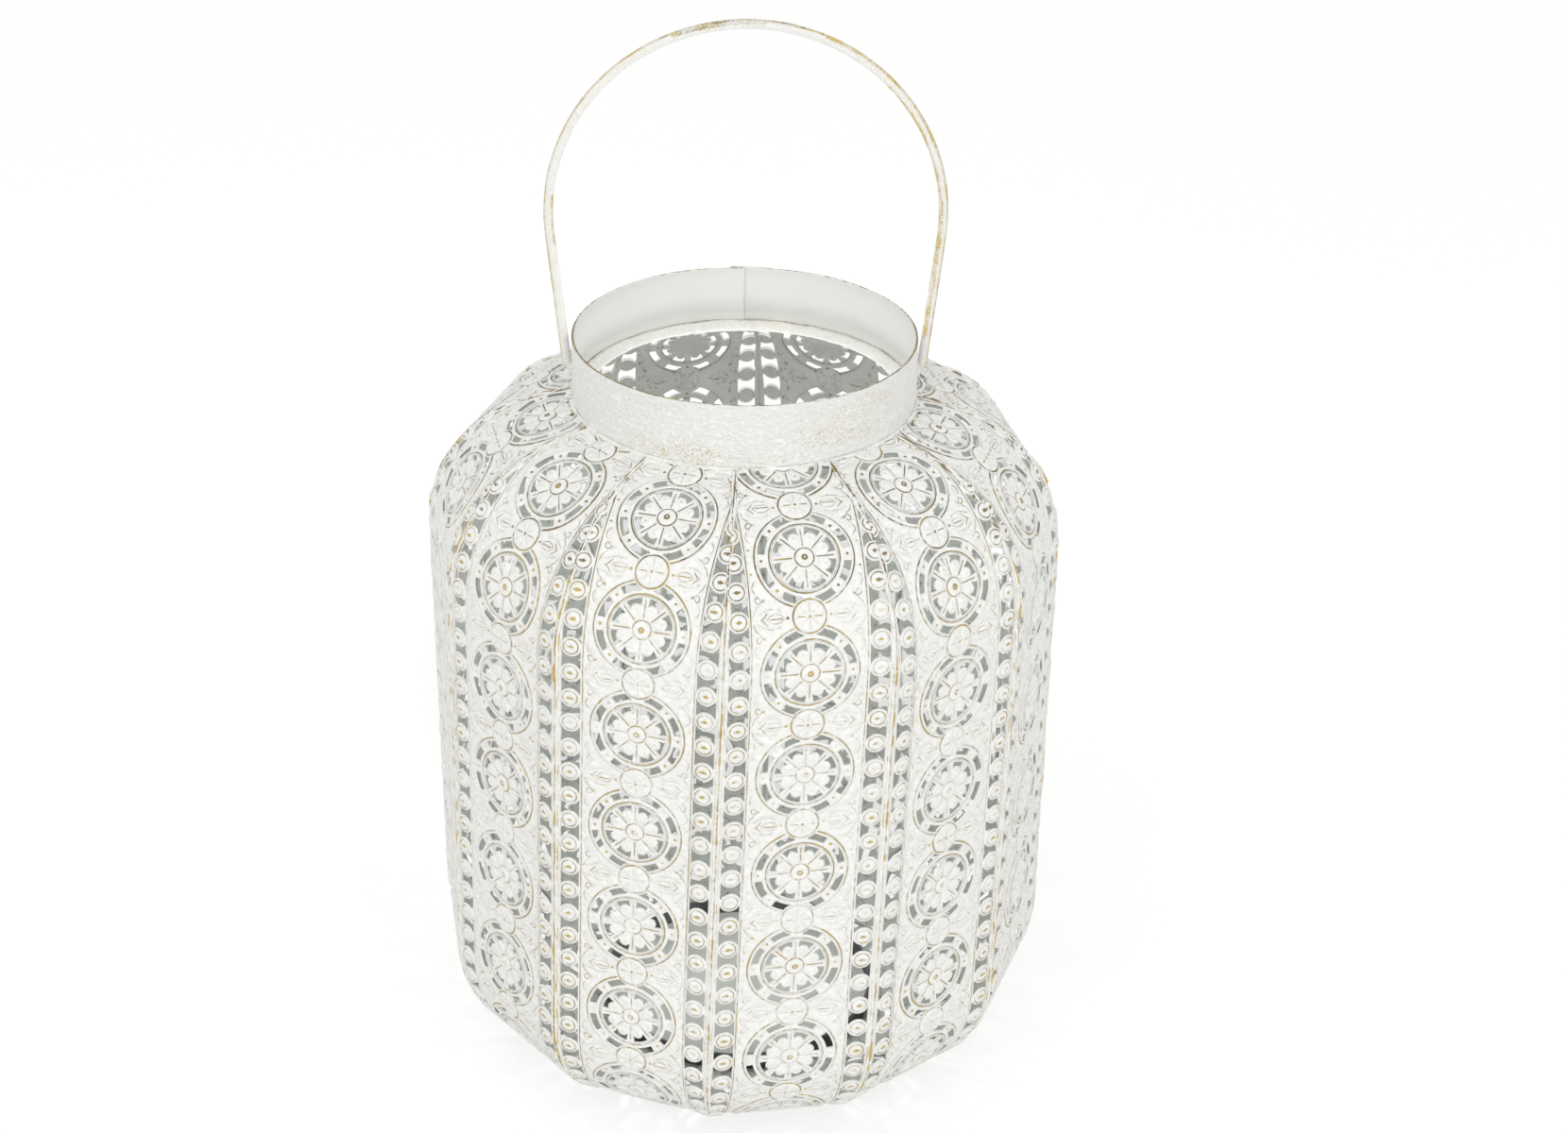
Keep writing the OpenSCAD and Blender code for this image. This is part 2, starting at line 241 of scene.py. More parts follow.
def mix_colour(tree, share, first, second):
    node = add_node(tree, "ShaderNodeMix", data_type="RGBA")
    tree.links.new(share, node.inputs["Factor"])
    for socket, value in ((node.inputs[6], first), (node.inputs[7], second)):
        if isinstance(value, tuple):
            socket.default_value = value
        else:
            tree.links.new(value, socket)
    return node.outputs[2]


WHITE_COAT = (0.885, 0.888, 0.868, 1)
DULL_COAT = (0.82, 0.82, 0.795, 1)
# painted shade in the grooves is grey or gold; the grey is also the colour of the dust
GREY_SHADE_AND_DUST = (0.4, 0.36, 0.265, 1)
GOLD_GROOVE_SHADE = (0.57, 0.47, 0.24, 1)
GOLD_GROUND = (0.63, 0.46, 0.135, 1)
BROWN_GROUND = (0.28, 0.205, 0.085, 1)
PAINT_STEP = 0.15
MORE_WEAR = 0.13

rubbed = bpy.data.node_groups.new("rubbed_white_paint", "ShaderNodeTree")
group_socket(rubbed, "Place", "Vector")
group_socket(rubbed, "Line", "Float", 0.0)
group_socket(rubbed, "Speckle", "Float", 0.0)
group_socket(rubbed, "Gold", "Float", 0.5)
group_socket(rubbed, "Colour", "Color", output=True)
group_socket(rubbed, "Roughness", "Float", output=True)
group_socket(rubbed, "Height", "Float", output=True)
rubbed_in = add_node(rubbed, "NodeGroupInput")
rubbed_out = add_node(rubbed, "NodeGroupOutput")
place = rubbed_in.outputs["Place"]
line = rubbed_in.outputs["Line"]

# large patches of more wear, small breaks in a worn line, fine specks, and a faint mottle in the white
patches = maths(rubbed, "MULTIPLY_ADD", rubbed_in.outputs["Gold"], -0.08, noise(rubbed, place, 34, 3))
patches = ramp(rubbed, patches, 0.36, 0.52)
breaks = ramp(rubbed, noise(rubbed, place, 380, 2), 0.42, 0.6)
specks = ramp(rubbed, noise(rubbed, place, 1000, 2, 0.7), 0.56, 0.66)
mottle = ramp(rubbed, noise(rubbed, place, 420, 3, 0.6), 0.35, 0.65)

# every groove is darkened a little with painted shade, less where the ground turns gold; where the patches
# lie, grooves and edges are rubbed through
groove_shade = maths(rubbed, "MULTIPLY_ADD", breaks, 0.3, 0.42)
groove_shade = maths(rubbed, "MULTIPLY_ADD", patches, 0.2, groove_shade)
groove_shade = maths(rubbed, "MULTIPLY_ADD", rubbed_in.outputs["Gold"], -0.25, groove_shade)
groove_shade = maths(rubbed, "MULTIPLY", ramp(rubbed, line, 0.15, 0.75), groove_shade)
worn = maths(rubbed, "MULTIPLY_ADD", patches, 0.45, 0.53)
worn = maths(rubbed, "MULTIPLY_ADD", rubbed_in.outputs["Gold"], -0.2, worn)
worn = maths(rubbed, "MULTIPLY_ADD", breaks, 0.55, worn)
worn = ramp(rubbed, maths(rubbed, "MULTIPLY", worn, line), 0.5, 0.8)
dust = maths(rubbed, "MULTIPLY", rubbed_in.outputs["Speckle"], specks)
dust = maths(rubbed, "MULTIPLY", dust, maths(rubbed, "MULTIPLY_ADD", patches, 0.7, 0.3))
golden = maths(rubbed, "MULTIPLY_ADD", rubbed_in.outputs["Gold"], 0.4, noise(rubbed, place, 95, 2))
golden = ramp(rubbed, golden, 0.56, 0.72)
ground = mix_colour(rubbed, golden, BROWN_GROUND, GOLD_GROUND)
coat = mix_colour(rubbed, mottle, DULL_COAT, WHITE_COAT)
coat = mix_colour(rubbed, groove_shade, coat, mix_colour(rubbed, golden, GREY_SHADE_AND_DUST, GOLD_GROOVE_SHADE))
dusty = mix_colour(rubbed, golden, GREY_SHADE_AND_DUST, GOLD_GROUND)
coat = mix_colour(rubbed, maths(rubbed, "MULTIPLY", dust, 0.8), coat, dusty)
rubbed.links.new(mix_colour(rubbed, worn, coat, ground), rubbed_out.inputs["Colour"])
polish = maths(rubbed, "MULTIPLY", worn, 0.2)
rubbed.links.new(maths(rubbed, "SUBTRACT", 0.6, polish), rubbed_out.inputs["Roughness"])
grain = maths(rubbed, "MULTIPLY", mottle, 0.8)
grain = maths(rubbed, "MULTIPLY_ADD", noise(rubbed, place, 1100, 2, 0.6), 0.6, grain)
dents = maths(rubbed, "MULTIPLY_ADD", dust, 0.12, worn)
rubbed.links.new(maths(rubbed, "SUBTRACT", grain, dents), rubbed_out.inputs["Height"])


def surface_material(name):
    """a material of one surface shader, with its tree, its shader and the place of each point in metres"""
    material = new_material(name)
    tree = material.node_tree
    surface = add_node(tree, "ShaderNodeBsdfPrincipled")
    show(tree, surface)
    return material, tree, surface, add_node(tree, "ShaderNodeTexCoord").outputs["Object"]


def height_of(tree, place):
    split = add_node(tree, "ShaderNodeSeparateXYZ")
    tree.links.new(place, split.inputs[0])
    return split.outputs["Z"]


def add_bump(tree, surface, height, strength, depth):
    node = add_node(tree, "ShaderNodeBump")
    node.inputs["Strength"].default_value = strength
    node.inputs["Distance"].default_value = depth * MM
    tree.links.new(height, node.inputs["Height"])
    tree.links.new(node.outputs[0], surface.inputs["Normal"])


def white_paint(name, line, speckle, gold=0.7, bump=0.8, stretch=(1, 1, 1), gold_below=None, more_below=None):
    """matte white paint; line, speckle and gold are numbers or attributes of the mesh

    gold_below and more_below are pairs of heights in metres; from the first down to the second the ground
    turns from brown to gold, or shows more
    """
    material, tree, surface, place = surface_material(name)
    spread = add_node(tree, "ShaderNodeMapping")
    spread.inputs["Scale"].default_value = stretch
    tree.links.new(place, spread.inputs["Vector"])
    paint = add_node(tree, "ShaderNodeGroup", node_tree=rubbed)
    tree.links.new(spread.outputs[0], paint.inputs["Place"])
    for socket, value in (("Line", line), ("Speckle", speckle), ("Gold", gold)):
        if isinstance(value, str):
            mark = add_node(tree, "ShaderNodeAttribute", attribute_name=value).outputs["Fac"]
            if socket == "Line" and more_below:
                more = ramp(tree, height_of(tree, place), *more_below)
                mark = maths(tree, "MULTIPLY", mark, maths(tree, "MULTIPLY_ADD", more, MORE_WEAR, 1.0))
            tree.links.new(mark, paint.inputs[socket])
        else:
            paint.inputs[socket].default_value = value
    if gold_below:
        tree.links.new(ramp(tree, height_of(tree, place), *gold_below), paint.inputs["Gold"])
    add_bump(tree, surface, paint.outputs["Height"], min(bump, 1), PAINT_STEP * max(bump, 1))
    tree.links.new(paint.outputs["Colour"], surface.inputs["Base Color"])
    tree.links.new(paint.outputs["Roughness"], surface.inputs["Roughness"])
    surface.inputs["Specular IOR Level"].default_value = 0.35
    return material


# The tile: one repeat of the pressed pattern, a rosette between two columns of beads, in sheet metal.
# It is drawn as a quarter, because it is the same left to right and top to bottom, and then mirrored.
# All sizes are millimetres; rings are (radius, height over the sheet, share of wear), and a share of wear
# also sets the painted shade in a groove.
REPEAT = 41.0
TILE_HALF = 31.2
QUARTER_TOP = REPEAT / 2
ROSETTE_RINGS = (
    (0.0, 0.5, 0.2), (0.45, 0.48, 0.5), (0.85, 0.28, 1.0), (1.3, 0.5, 0.15), (2.7, 0.45, 0.0),
    (3.05, 0.3, 0.2), (3.4, -0.12, 0.85), (3.75, 0.15, 0.1), (4.6, 0.2, 0.0), (8.5, 0.2, 0.0),
    (11.2, 0.2, 0.0), (11.5, 0.32, 0.1), (11.8, 0.1, 0.5), (12.1, 0.36, 0.05), (12.5, -0.15, 1.0),
    (12.9, 0.32, 0.1), (13.5, 0.32, 0.0), (14.0, 0.2, 0.0), (16.5, 0.15, 0.0), (16.8, 0.45, 0.0),
    (17.2, 0.35, 0.1), (17.6, -0.32, 1.0), (18.0, 0.05, 0.1), (18.6, 0.0, 0.0),
)
MEDALLION_RINGS = (
    (0.0, 0.45, 0.0), (0.5, 0.42, 0.0), (2.8, 0.4, 0.0), (5.1, 0.38, 0.0), (5.5, 0.2, 0.15),
    (5.9, -0.3, 0.9), (6.4, 0.12, 0.1),
)
BEAD_RINGS = (
    (0.0, 0.22, 1.0), (0.45, 0.28, 0.9), (0.9, 0.55, 0.05), (2.3, 0.5, 0.0), (2.8, 0.12, 0.8),
    (3.15, 0.52, 0.05), (3.5, 0.4, 0.0), (3.87, 0.05, 0.1),
)
MEDALLION_TRIM = 6.4
PETAL_PLACE = 7.58
PETAL_RADIUS = 2.05
PETAL_TURNS = (22.5, 67.5)
PETAL_SIDES = 18
PETAL_DOME = 1.15 * PETAL_RADIUS
PETAL_RISE = 0.35
SPOKE_STEP = 45.0
# windows are (inner radius, outer radius, half their width in degrees)
OUTER_WINDOW = (14.0, 16.5, 13.5)
INNER_WINDOW = (8.35, 11.2, 15.0)
BEAD_X = 25.015
BEAD_STEP = REPEAT / 4
DASH_HALF = (1.5, 0.55)
DASH_REACH = 1.2
SLOT_HALF = 3.65
MARGIN_X = 20.65
GROOVE_HALF = 0.35
GROOVE_DEPTH = 0.3
GROOVE_WEAR = 0.95
DOT_RINGS = ((0.35, 6), (0.75, 10))
DOT_RADIUS = 0.6
DOT_DEPTH = 0.2
STROKE_STEP = 0.9
FILL_START = (1.1, 1.0)
FILL_STEP = (2.2, 1.9)
FILL_CLEAR = 1.0
QUARTER_MARGIN = 0.6
RELIEF = 1.5

quarter_points = []
quarter_edges = []


def draw(points, closed=False):
    start = len(quarter_points)
    quarter_points.extend(points)
    count = len(points)
    for i in range(count if closed else count - 1):
        quarter_edges.append((start + i, start + (i + 1) % count))


def draw_ring(x, y, radius, count):
    turn = 2 * math.pi / count
    points = [(x + radius * math.cos(turn * i), y + radius * math.sin(turn * i)) for i in range(count)]
    draw(points, closed=True)


def ring_sides(radius):
    if radius < 0.7:
        return 6
    if radius < 1.5:
        return 12
    if radius < 7:
        return 24
    if radius < 9:
        return 48
    return 64 if radius < 15 else 88


def along(first, last, step=1.25):
    first = np.array(first, float)
    last = np.array(last, float)
    count = max(1, int(round(np.linalg.norm(last - first) / step)))
    return [tuple(first + (last - first) * i / count) for i in range(count + 1)]


def polar(radius, degrees):
    return (radius * math.cos(math.radians(degrees)), radius * math.sin(math.radians(degrees)))


def lowered(*points):
    """points given from the medallion's middle, outwards and down"""
    return [(x, QUARTER_TOP - y) for x, y in points]


petals = [polar(PETAL_PLACE, a) for a in PETAL_TURNS]
beads = [(BEAD_X, i * BEAD_STEP) for i in range(3)]

# each stroke is (points, half width, depth, wear): spokes, the medallion's cross, then leaf and scrolls
SPOKE_WEAR = ((0, 1.0), (45, 0.95), (90, 0.75))
strokes = [([polar(4.5, a), polar(10.3, a)], 0.38, 0.35, wear) for a, wear in SPOKE_WEAR]
strokes += [
    (lowered((1.9, 0), (4.0, 0)), 0.3, 0.25, 0.9),
    (lowered((0, 1.4), (0, 4.6)), 0.3, 0.18, 0.45),
    (lowered((1.0, 1.0), (3.3, 3.3)), 0.3, 0.18, 0.4),
    (lowered((9.7, 0), (13.1, 0)), 0.32, 0.2, 0.95),
    (lowered((16.9, 0), (15.9, 0.9), (15.1, 1.9)), 0.32, 0.2, 0.85),
    (lowered((8.9, 0.2), (10.3, 1.35), (12.0, 1.7), (13.6, 1.3), (14.8, 0.3)), 0.32, 0.2, 0.55),
    (lowered((19.7, 1.5), (19.0, 3.6), (17.6, 5.0)), 0.32, 0.2, 0.65),
    (lowered((10.6, 3.0), (13.0, 3.6), (15.4, 3.2), (17.3, 2.1)), 0.32, 0.2, 0.5),
    ([(16.6, 14.2), (17.4, 14.9), (18.6, 14.3), (18.8, 13.0), (17.9, 12.3), (17.3, 13.0)], 0.28, 0.2, 0.75),
    ([(18.9, 10.9), (19.5, 9.6), (19.3, 8.2), (18.5, 7.2)], 0.28, 0.2, 0.65),
]
# the leaf is (middle, half length, half width, rise), and each punched dot (x, y, wear)
LEAF = (12.0, 3.6, 1.6, 0.3)
dots = [(*polar(15.25, a), 1.0) for a in (0, 45)]
dots += [(7.7, QUARTER_TOP, 0.95), (0.0, QUARTER_TOP, 0.95), (19.3, 4.4, 0.6)]
dots += [(*petal, 0.5) for petal in petals]

for radius, _, _ in ROSETTE_RINGS[1:]:
    draw_ring(0, 0, radius, ring_sides(radius))
for radius, _, _ in MEDALLION_RINGS[2:]:
    draw_ring(0, QUARTER_TOP, radius, 36)
for bead in beads:
    for radius, _, _ in BEAD_RINGS[1:]:
        draw_ring(*bead, radius, 10 if radius < 1 else 20)
for degrees, petal in zip(PETAL_TURNS, petals):
    for low, high, half in (OUTER_WINDOW, INNER_WINDOW):
        for side in (-half, half):
            draw([polar(low, degrees + side), polar(high, degrees + side)])
    draw([polar(INNER_WINDOW[0], degrees + a) for a in np.linspace(-INNER_WINDOW[2], INNER_WINDOW[2], 11)])
    draw_ring(*petal, PETAL_RADIUS, PETAL_SIDES)
    draw_ring(*petal, PETAL_RADIUS / 2, PETAL_SIDES // 2)
for x in (BEAD_X - SLOT_HALF, BEAD_X + SLOT_HALF, MARGIN_X - GROOVE_HALF, MARGIN_X, MARGIN_X + GROOVE_HALF):
    draw(along((x, 0), (x, QUARTER_TOP)))
for x, y, _ in dots:
    for radius, sides in DOT_RINGS:
        draw_ring(x, y, radius, sides)
for points, half, _, _ in strokes:
    for first, last in zip(points, points[1:]):
        unit = (Vector(last) - Vector(first)).normalized()
        side = Vector((-unit.y, unit.x)) * half
        for shift in (-1, 0, 1):
            draw(along(Vector(first) + side * shift, Vector(last) + side * shift, STROKE_STEP))

# the four sides of the quarter itself
draw(along((0, 0), (TILE_HALF, 0), 2.5))
draw(along((TILE_HALF, 0), (TILE_HALF, QUARTER_TOP), 1.5))
draw(along((0, QUARTER_TOP), (TILE_HALF, QUARTER_TOP), 2.5))
draw(along((0, 0), (0, QUARTER_TOP), 2.5))

# loose points between the lines keep the triangles even
drawn = np.array(quarter_points)
fill = []
for x in np.arange(FILL_START[0], TILE_HALF, FILL_STEP[0]):
    for y in np.arange(FILL_START[1], QUARTER_TOP, FILL_STEP[1]):
        if np.min(np.hypot(drawn[:, 0] - x, drawn[:, 1] - y)) > FILL_CLEAR:
            fill.append((x, y))


def in_quarter(number):
    x, y = quarter_points[number]
    return (-QUARTER_MARGIN < x < TILE_HALF + QUARTER_MARGIN
            and -QUARTER_MARGIN < y < QUARTER_TOP + QUARTER_MARGIN)


kept_edges = [(first, last) for first, last in quarter_edges if in_quarter(first) and in_quarter(last)]
kept = sorted({i for edge in kept_edges for i in edge})
index_of = {old: new for new, old in enumerate(kept)}
flat_points = [Vector(quarter_points[i]) for i in kept] + [Vector(p) for p in fill]
flat_edges = [(index_of[a], index_of[b]) for a, b in kept_edges]
flat, _, faces, _, _, _ = geometry.delaunay_2d_cdt(flat_points, flat_edges, [], 0, 1e-4)
flat = np.array([(p.x, p.y) for p in flat])
faces = np.array(faces)


def from_nearest(x, y, middles):
    """distance from the nearest of some middles"""
    return np.min([np.hypot(x - mx, y - my) for mx, my in middles], axis=0)


def in_window(x, y, window):
    """whether points lie in a ring of windows, before what stands in front of them is taken off"""
    low, high, half = window
    radius = np.hypot(x, y)
    turn = np.degrees(np.arctan2(y, x)) - PETAL_TURNS[0]
    off = np.abs((turn + SPOKE_STEP / 2) % SPOKE_STEP - SPOKE_STEP / 2)
    return (radius > low) & (radius < high) & (off < half)


def is_open(x, y):
    """whether points lie in one of the openings that are cut through the sheet"""
    outer = in_window(x, y, OUTER_WINDOW) & (np.hypot(x, y - QUARTER_TOP) > MEDALLION_TRIM)
    inner = in_window(x, y, INNER_WINDOW) & (from_nearest(x, y, petals) > PETAL_RADIUS)
    slot = (np.abs(x - BEAD_X) < SLOT_HALF) & (from_nearest(x, y, beads) > BEAD_RINGS[-1][0])
    return outer | inner | slot


def from_line(x, y, points):
    """distance from a line through some points"""
    distances = []
    for (ax, ay), (bx, by) in zip(points, points[1:]):
        length = (bx - ax) ** 2 + (by - ay) ** 2
        share = np.clip(((x - ax) * (bx - ax) + (y - ay) * (by - ay)) / length, 0, 1)
        distances.append(np.hypot(x - ax - share * (bx - ax), y - ay - share * (by - ay)))
    return np.min(distances, axis=0)


def profile(distance, rings):
    radii, heights, wears = zip(*rings)
    return np.interp(distance, radii, heights), np.interp(distance, radii, wears)


def pressed(x, y):
    """height over the sheet and share of wear of points in the quarter"""
    radius = np.hypot(x, y)
    height, wear = profile(radius, ROSETTE_RINGS)
    for px, py in petals:
        dome = np.clip(1 - (np.hypot(x - px, y - py) / PETAL_DOME) ** 2, 0, 1)
        height = height + PETAL_RISE * dome
    leaf_x, leaf_long, leaf_wide, leaf_rise = LEAF
    leaf = np.clip(1 - ((x - leaf_x) / leaf_long) ** 2 - ((y - QUARTER_TOP) / leaf_wide) ** 2, 0, 1)
    height = height + leaf_rise * leaf
    from_medallion = np.hypot(x, y - QUARTER_TOP)
    inside = from_medallion < MEDALLION_TRIM
    disc_height, disc_wear = profile(from_medallion, MEDALLION_RINGS)
    height = np.where(inside, disc_height, height)
    wear = np.where(inside, disc_wear, wear)
    for bx, by in beads:
        from_bead = np.hypot(x - bx, y - by)
        bead_height, bead_wear = profile(from_bead, BEAD_RINGS)
        dash = np.clip(1.4 - np.hypot((x - bx) / DASH_HALF[0], (y - by) / DASH_HALF[1]), 0, 1)
        bead_wear = np.maximum(bead_wear, np.where(from_bead < DASH_REACH, dash, 0))
        inside = from_bead < BEAD_RINGS[-1][0] + 1e-3
        height = np.where(inside, bead_height, height)
        wear = np.where(inside, bead_wear, wear)
    groove = np.clip(1 - np.abs(x - MARGIN_X) / GROOVE_HALF, 0, 1)
    height = height - GROOVE_DEPTH * groove
    wear = np.maximum(wear, GROOVE_WEAR * groove)
    for points, half, depth, amount in strokes:
        groove = np.clip(1 - from_line(x, y, points) / half, 0, 1)
        height = height - depth * groove
        wear = np.maximum(wear, amount * groove)
    for dx, dy, amount in dots:
        pit = np.clip(1.4 - np.hypot(x - dx, y - dy) / DOT_RADIUS, 0, 1)
        height = height - DOT_DEPTH * pit
        wear = np.maximum(wear, amount * pit)
    return height, wear


def point_values(mesh, name, values):
    mesh.attributes.new(name, "FLOAT", "POINT").data.foreach_set("value", values)


middle = flat[faces].mean(axis=1)
inside = (middle[:, 0] > 0) & (middle[:, 0] < TILE_HALF) & (middle[:, 1] > 0) & (middle[:, 1] < QUARTER_TOP)
faces = faces[inside & ~is_open(middle[:, 0], middle[:, 1])]
flat_height, flat_wear = pressed(flat[:, 0], flat[:, 1])
quarters = []
quarter_faces = []
for side_x in (1, -1):
    for side_y in (1, -1):
        shift = len(quarters) * len(flat)
        quarters.append(np.column_stack([flat[:, 0] * side_x, flat[:, 1] * side_y, flat_height * RELIEF]))
        quarter_faces.append((faces if side_x * side_y > 0 else faces[:, ::-1]) + shift)
tile_mesh = bpy.data.meshes.new("tile")
tile_mesh.from_pydata((np.concatenate(quarters) * MM).tolist(), [], np.concatenate(quarter_faces).tolist())
point_values(tile_mesh, "line", np.tile(flat_wear, 4))
tile_shape = bmesh.new()
tile_shape.from_mesh(tile_mesh)
bmesh.ops.remove_doubles(tile_shape, verts=tile_shape.verts, dist=0.01 * MM)
bmesh.ops.delete(tile_shape, geom=[v for v in tile_shape.verts if not v.link_faces], context="VERTS")
tile_shape.to_mesh(tile_mesh)
tile_shape.free()


# The strips: twelve lengths of pierced and pressed steel sheet, bent in over the shoulder and at the foot and
# soldered edge to edge, so that a raised rim runs along each seam. A node tree lays the repeats end to end
# and bends them; each strip is then trimmed to its two seams and gets its thickness and its rims.
STRIP_COUNT = 12
APOTHEM = 115.0
SHEET = 0.8
FOOT_HEIGHT = 55.0
FOOT_BEND = 54.0
WALL_HEIGHT = 158.0
SHOULDER_BEND = 57.5
SHOULDER_SWEEP = math.radians(75)
FIRST_FACING = 10.0
SEAM_HALF = 360 / STRIP_COUNT / 2
FOOT_END = 55.2
NECK_RADIUS = 63.6
NECK_FOOT = 262.0
NECK_FLATS = np.linspace(-12, 12, 5)
TWIST = 0.0137
TWIST_MIDDLE = 134.0
# of the repeats laid end to end, some lie under the start of the wall, so that they reach round the foot
STRIP_REPEATS = 11
REPEATS_BELOW = 4
PATTERN_STARTS = (0.951, 0.405, 0.646, 0.12, 0.83, 0.72, 0.675, 0.3, 0.92, 0.661, 0.261, 0.283)

bend_tree = bpy.data.node_groups.new("pressed_strip", "GeometryNodeTree")
group_socket(bend_tree, "Tile", "Geometry")
for name, value in (
    ("Repeat", REPEAT), ("Start", 0.0), ("Wall height", WALL_HEIGHT), ("Foot bend", FOOT_BEND),
    ("Shoulder bend", SHOULDER_BEND), ("Apothem", APOTHEM), ("Foot height", FOOT_HEIGHT),
):
    group_socket(bend_tree, name, "Float", value * MM)
group_socket(bend_tree, "Shoulder sweep", "Float", SHOULDER_SWEEP)
group_socket(bend_tree, "Facing", "Float", 0.0)
group_socket(bend_tree, "Repeats", "Int", STRIP_REPEATS)
group_socket(bend_tree, "Paint", "Material")
group_socket(bend_tree, "Strip", "Geometry", output=True)
size = add_node(bend_tree, "NodeGroupInput").outputs


def link(first, second):
    bend_tree.links.new(first, second)


def calc(operation, first, second=0.0):
    return maths(bend_tree, operation, first, second)


# the repeats, end to end along Y and welded where they meet
first_place = add_node(bend_tree, "ShaderNodeCombineXYZ")
link(size["Start"], first_place.inputs["Y"])
next_place = add_node(bend_tree, "ShaderNodeCombineXYZ")
link(size["Repeat"], next_place.inputs["Y"])
row = add_node(bend_tree, "GeometryNodeMeshLine", mode="OFFSET")
link(size["Repeats"], row.inputs["Count"])
link(first_place.outputs[0], row.inputs["Start Location"])
link(next_place.outputs[0], row.inputs["Offset"])
tiles = add_node(bend_tree, "GeometryNodeInstanceOnPoints")
link(row.outputs[0], tiles.inputs["Points"])
link(size["Tile"], tiles.inputs["Instance"])
whole = add_node(bend_tree, "GeometryNodeRealizeInstances")
link(tiles.outputs[0], whole.inputs[0])
welded = add_node(bend_tree, "GeometryNodeMergeByDistance")
welded.inputs["Distance"].default_value = 0.02 * MM
link(whole.outputs[0], welded.inputs["Geometry"])

# the angles reached round both bends, and what lies straight past them
where = add_node(bend_tree, "ShaderNodeSeparateXYZ")
link(add_node(bend_tree, "GeometryNodeInputPosition").outputs[0], where.inputs[0])
run = where.outputs["Y"]
lift = where.outputs["Z"]
under = calc("MAXIMUM", calc("MULTIPLY", run, -1.0), 0.0)
foot_length = calc("MULTIPLY", size["Foot bend"], math.pi / 2)
foot_angle = calc("DIVIDE", calc("MINIMUM", under, foot_length), size["Foot bend"])
foot_past = calc("MAXIMUM", calc("SUBTRACT", under, foot_length), 0.0)
over = calc("MAXIMUM", calc("SUBTRACT", run, size["Wall height"]), 0.0)
top_angle = calc("MINIMUM", calc("DIVIDE", over, size["Shoulder bend"]), size["Shoulder sweep"])
top_length = calc("MULTIPLY", size["Shoulder bend"], size["Shoulder sweep"])
top_past = calc("MAXIMUM", calc("SUBTRACT", over, top_length), 0.0)
on_wall = calc("MINIMUM", calc("MAXIMUM", run, 0.0), size["Wall height"])
foot_cos = calc("COSINE", foot_angle)
foot_sin = calc("SINE", foot_angle)
top_cos = calc("COSINE", top_angle)
top_sin = calc("SINE", top_angle)

# how far out and how high each point comes to lie
out = calc("SUBTRACT", size["Apothem"], calc("MULTIPLY", size["Foot bend"], calc("SUBTRACT", 1.0, foot_cos)))
out = calc("SUBTRACT", out, calc("MULTIPLY", size["Shoulder bend"], calc("SUBTRACT", 1.0, top_cos)))
out = calc("SUBTRACT", out, foot_past)
out = calc("SUBTRACT", out, calc("MULTIPLY", top_past, calc("SINE", size["Shoulder sweep"])))
out = calc("ADD", out, calc("MULTIPLY", lift, calc("MULTIPLY", foot_cos, top_cos)))
high = calc("ADD", size["Foot height"], on_wall)
high = calc("SUBTRACT", high, calc("MULTIPLY", size["Foot bend"], foot_sin))
high = calc("ADD", high, calc("MULTIPLY", size["Shoulder bend"], top_sin))
high = calc("ADD", high, calc("MULTIPLY", top_past, calc("COSINE", size["Shoulder sweep"])))
high = calc("ADD", high, calc("MULTIPLY", lift, calc("SUBTRACT", top_sin, foot_sin)))

# bent, turned to its side of the body and painted
bent = add_node(bend_tree, "ShaderNodeCombineXYZ")
link(where.outputs["X"], bent.inputs["X"])
link(calc("MULTIPLY", out, -1.0), bent.inputs["Y"])
link(high, bent.inputs["Z"])
faced = add_node(bend_tree, "ShaderNodeVectorRotate", rotation_type="Z_AXIS")
link(bent.outputs[0], faced.inputs["Vector"])
link(size["Facing"], faced.inputs["Angle"])
moved = add_node(bend_tree, "GeometryNodeSetPosition")
link(welded.outputs[0], moved.inputs["Geometry"])
link(faced.outputs[0], moved.inputs["Position"])
painted = add_node(bend_tree, "GeometryNodeSetMaterial")
link(moved.outputs[0], painted.inputs["Geometry"])
link(size["Paint"], painted.inputs["Material"])
link(painted.outputs[0], add_node(bend_tree, "NodeGroupOutput").inputs[0])
socket_id = {item.name: item.identifier for item in bend_tree.interface.items_tree if item.in_out == "INPUT"}

# outside white, with a brown ground and more painted shade in the grooves at the shoulder, and a golden
# ground below it; inside plain grey
GOLD_BELOW = (0.262, 0.215)
MORE_BELOW = (0.13, 0.04)
INSIDE_GREY = (0.348, 0.358, 0.334, 1)
INSIDE_PALE = (0.4, 0.41, 0.385, 1)


def two_tones(tree, surface, share, first, second, roughness):
    tree.links.new(mix_colour(tree, share, first, second), surface.inputs["Base Color"])
    surface.inputs["Roughness"].default_value = roughness


pressed_paint = white_paint(
    "pressed_white", "line", speckle=0.25, bump=1.8, gold_below=GOLD_BELOW, more_below=MORE_BELOW)
inside_paint, inside_tree, inside_surface, place = surface_material("inside_grey")
inside_tone = ramp(inside_tree, noise(inside_tree, place, 60, 4), 0.3, 0.7)
two_tones(inside_tree, inside_surface, inside_tone, INSIDE_GREY, INSIDE_PALE, 0.7)
add_bump(inside_tree, inside_surface, noise(inside_tree, place, 500, 3), 0.4, 0.2)


def settled(piece):
    """the piece's mesh with its modifiers applied"""
    depsgraph = bpy.context.evaluated_depsgraph_get()
    mesh = bpy.data.meshes.new_from_object(
        piece.evaluated_get(depsgraph), preserve_all_data_layers=True, depsgraph=depsgraph)
    piece.modifiers.clear()
    piece.data = mesh
    return mesh


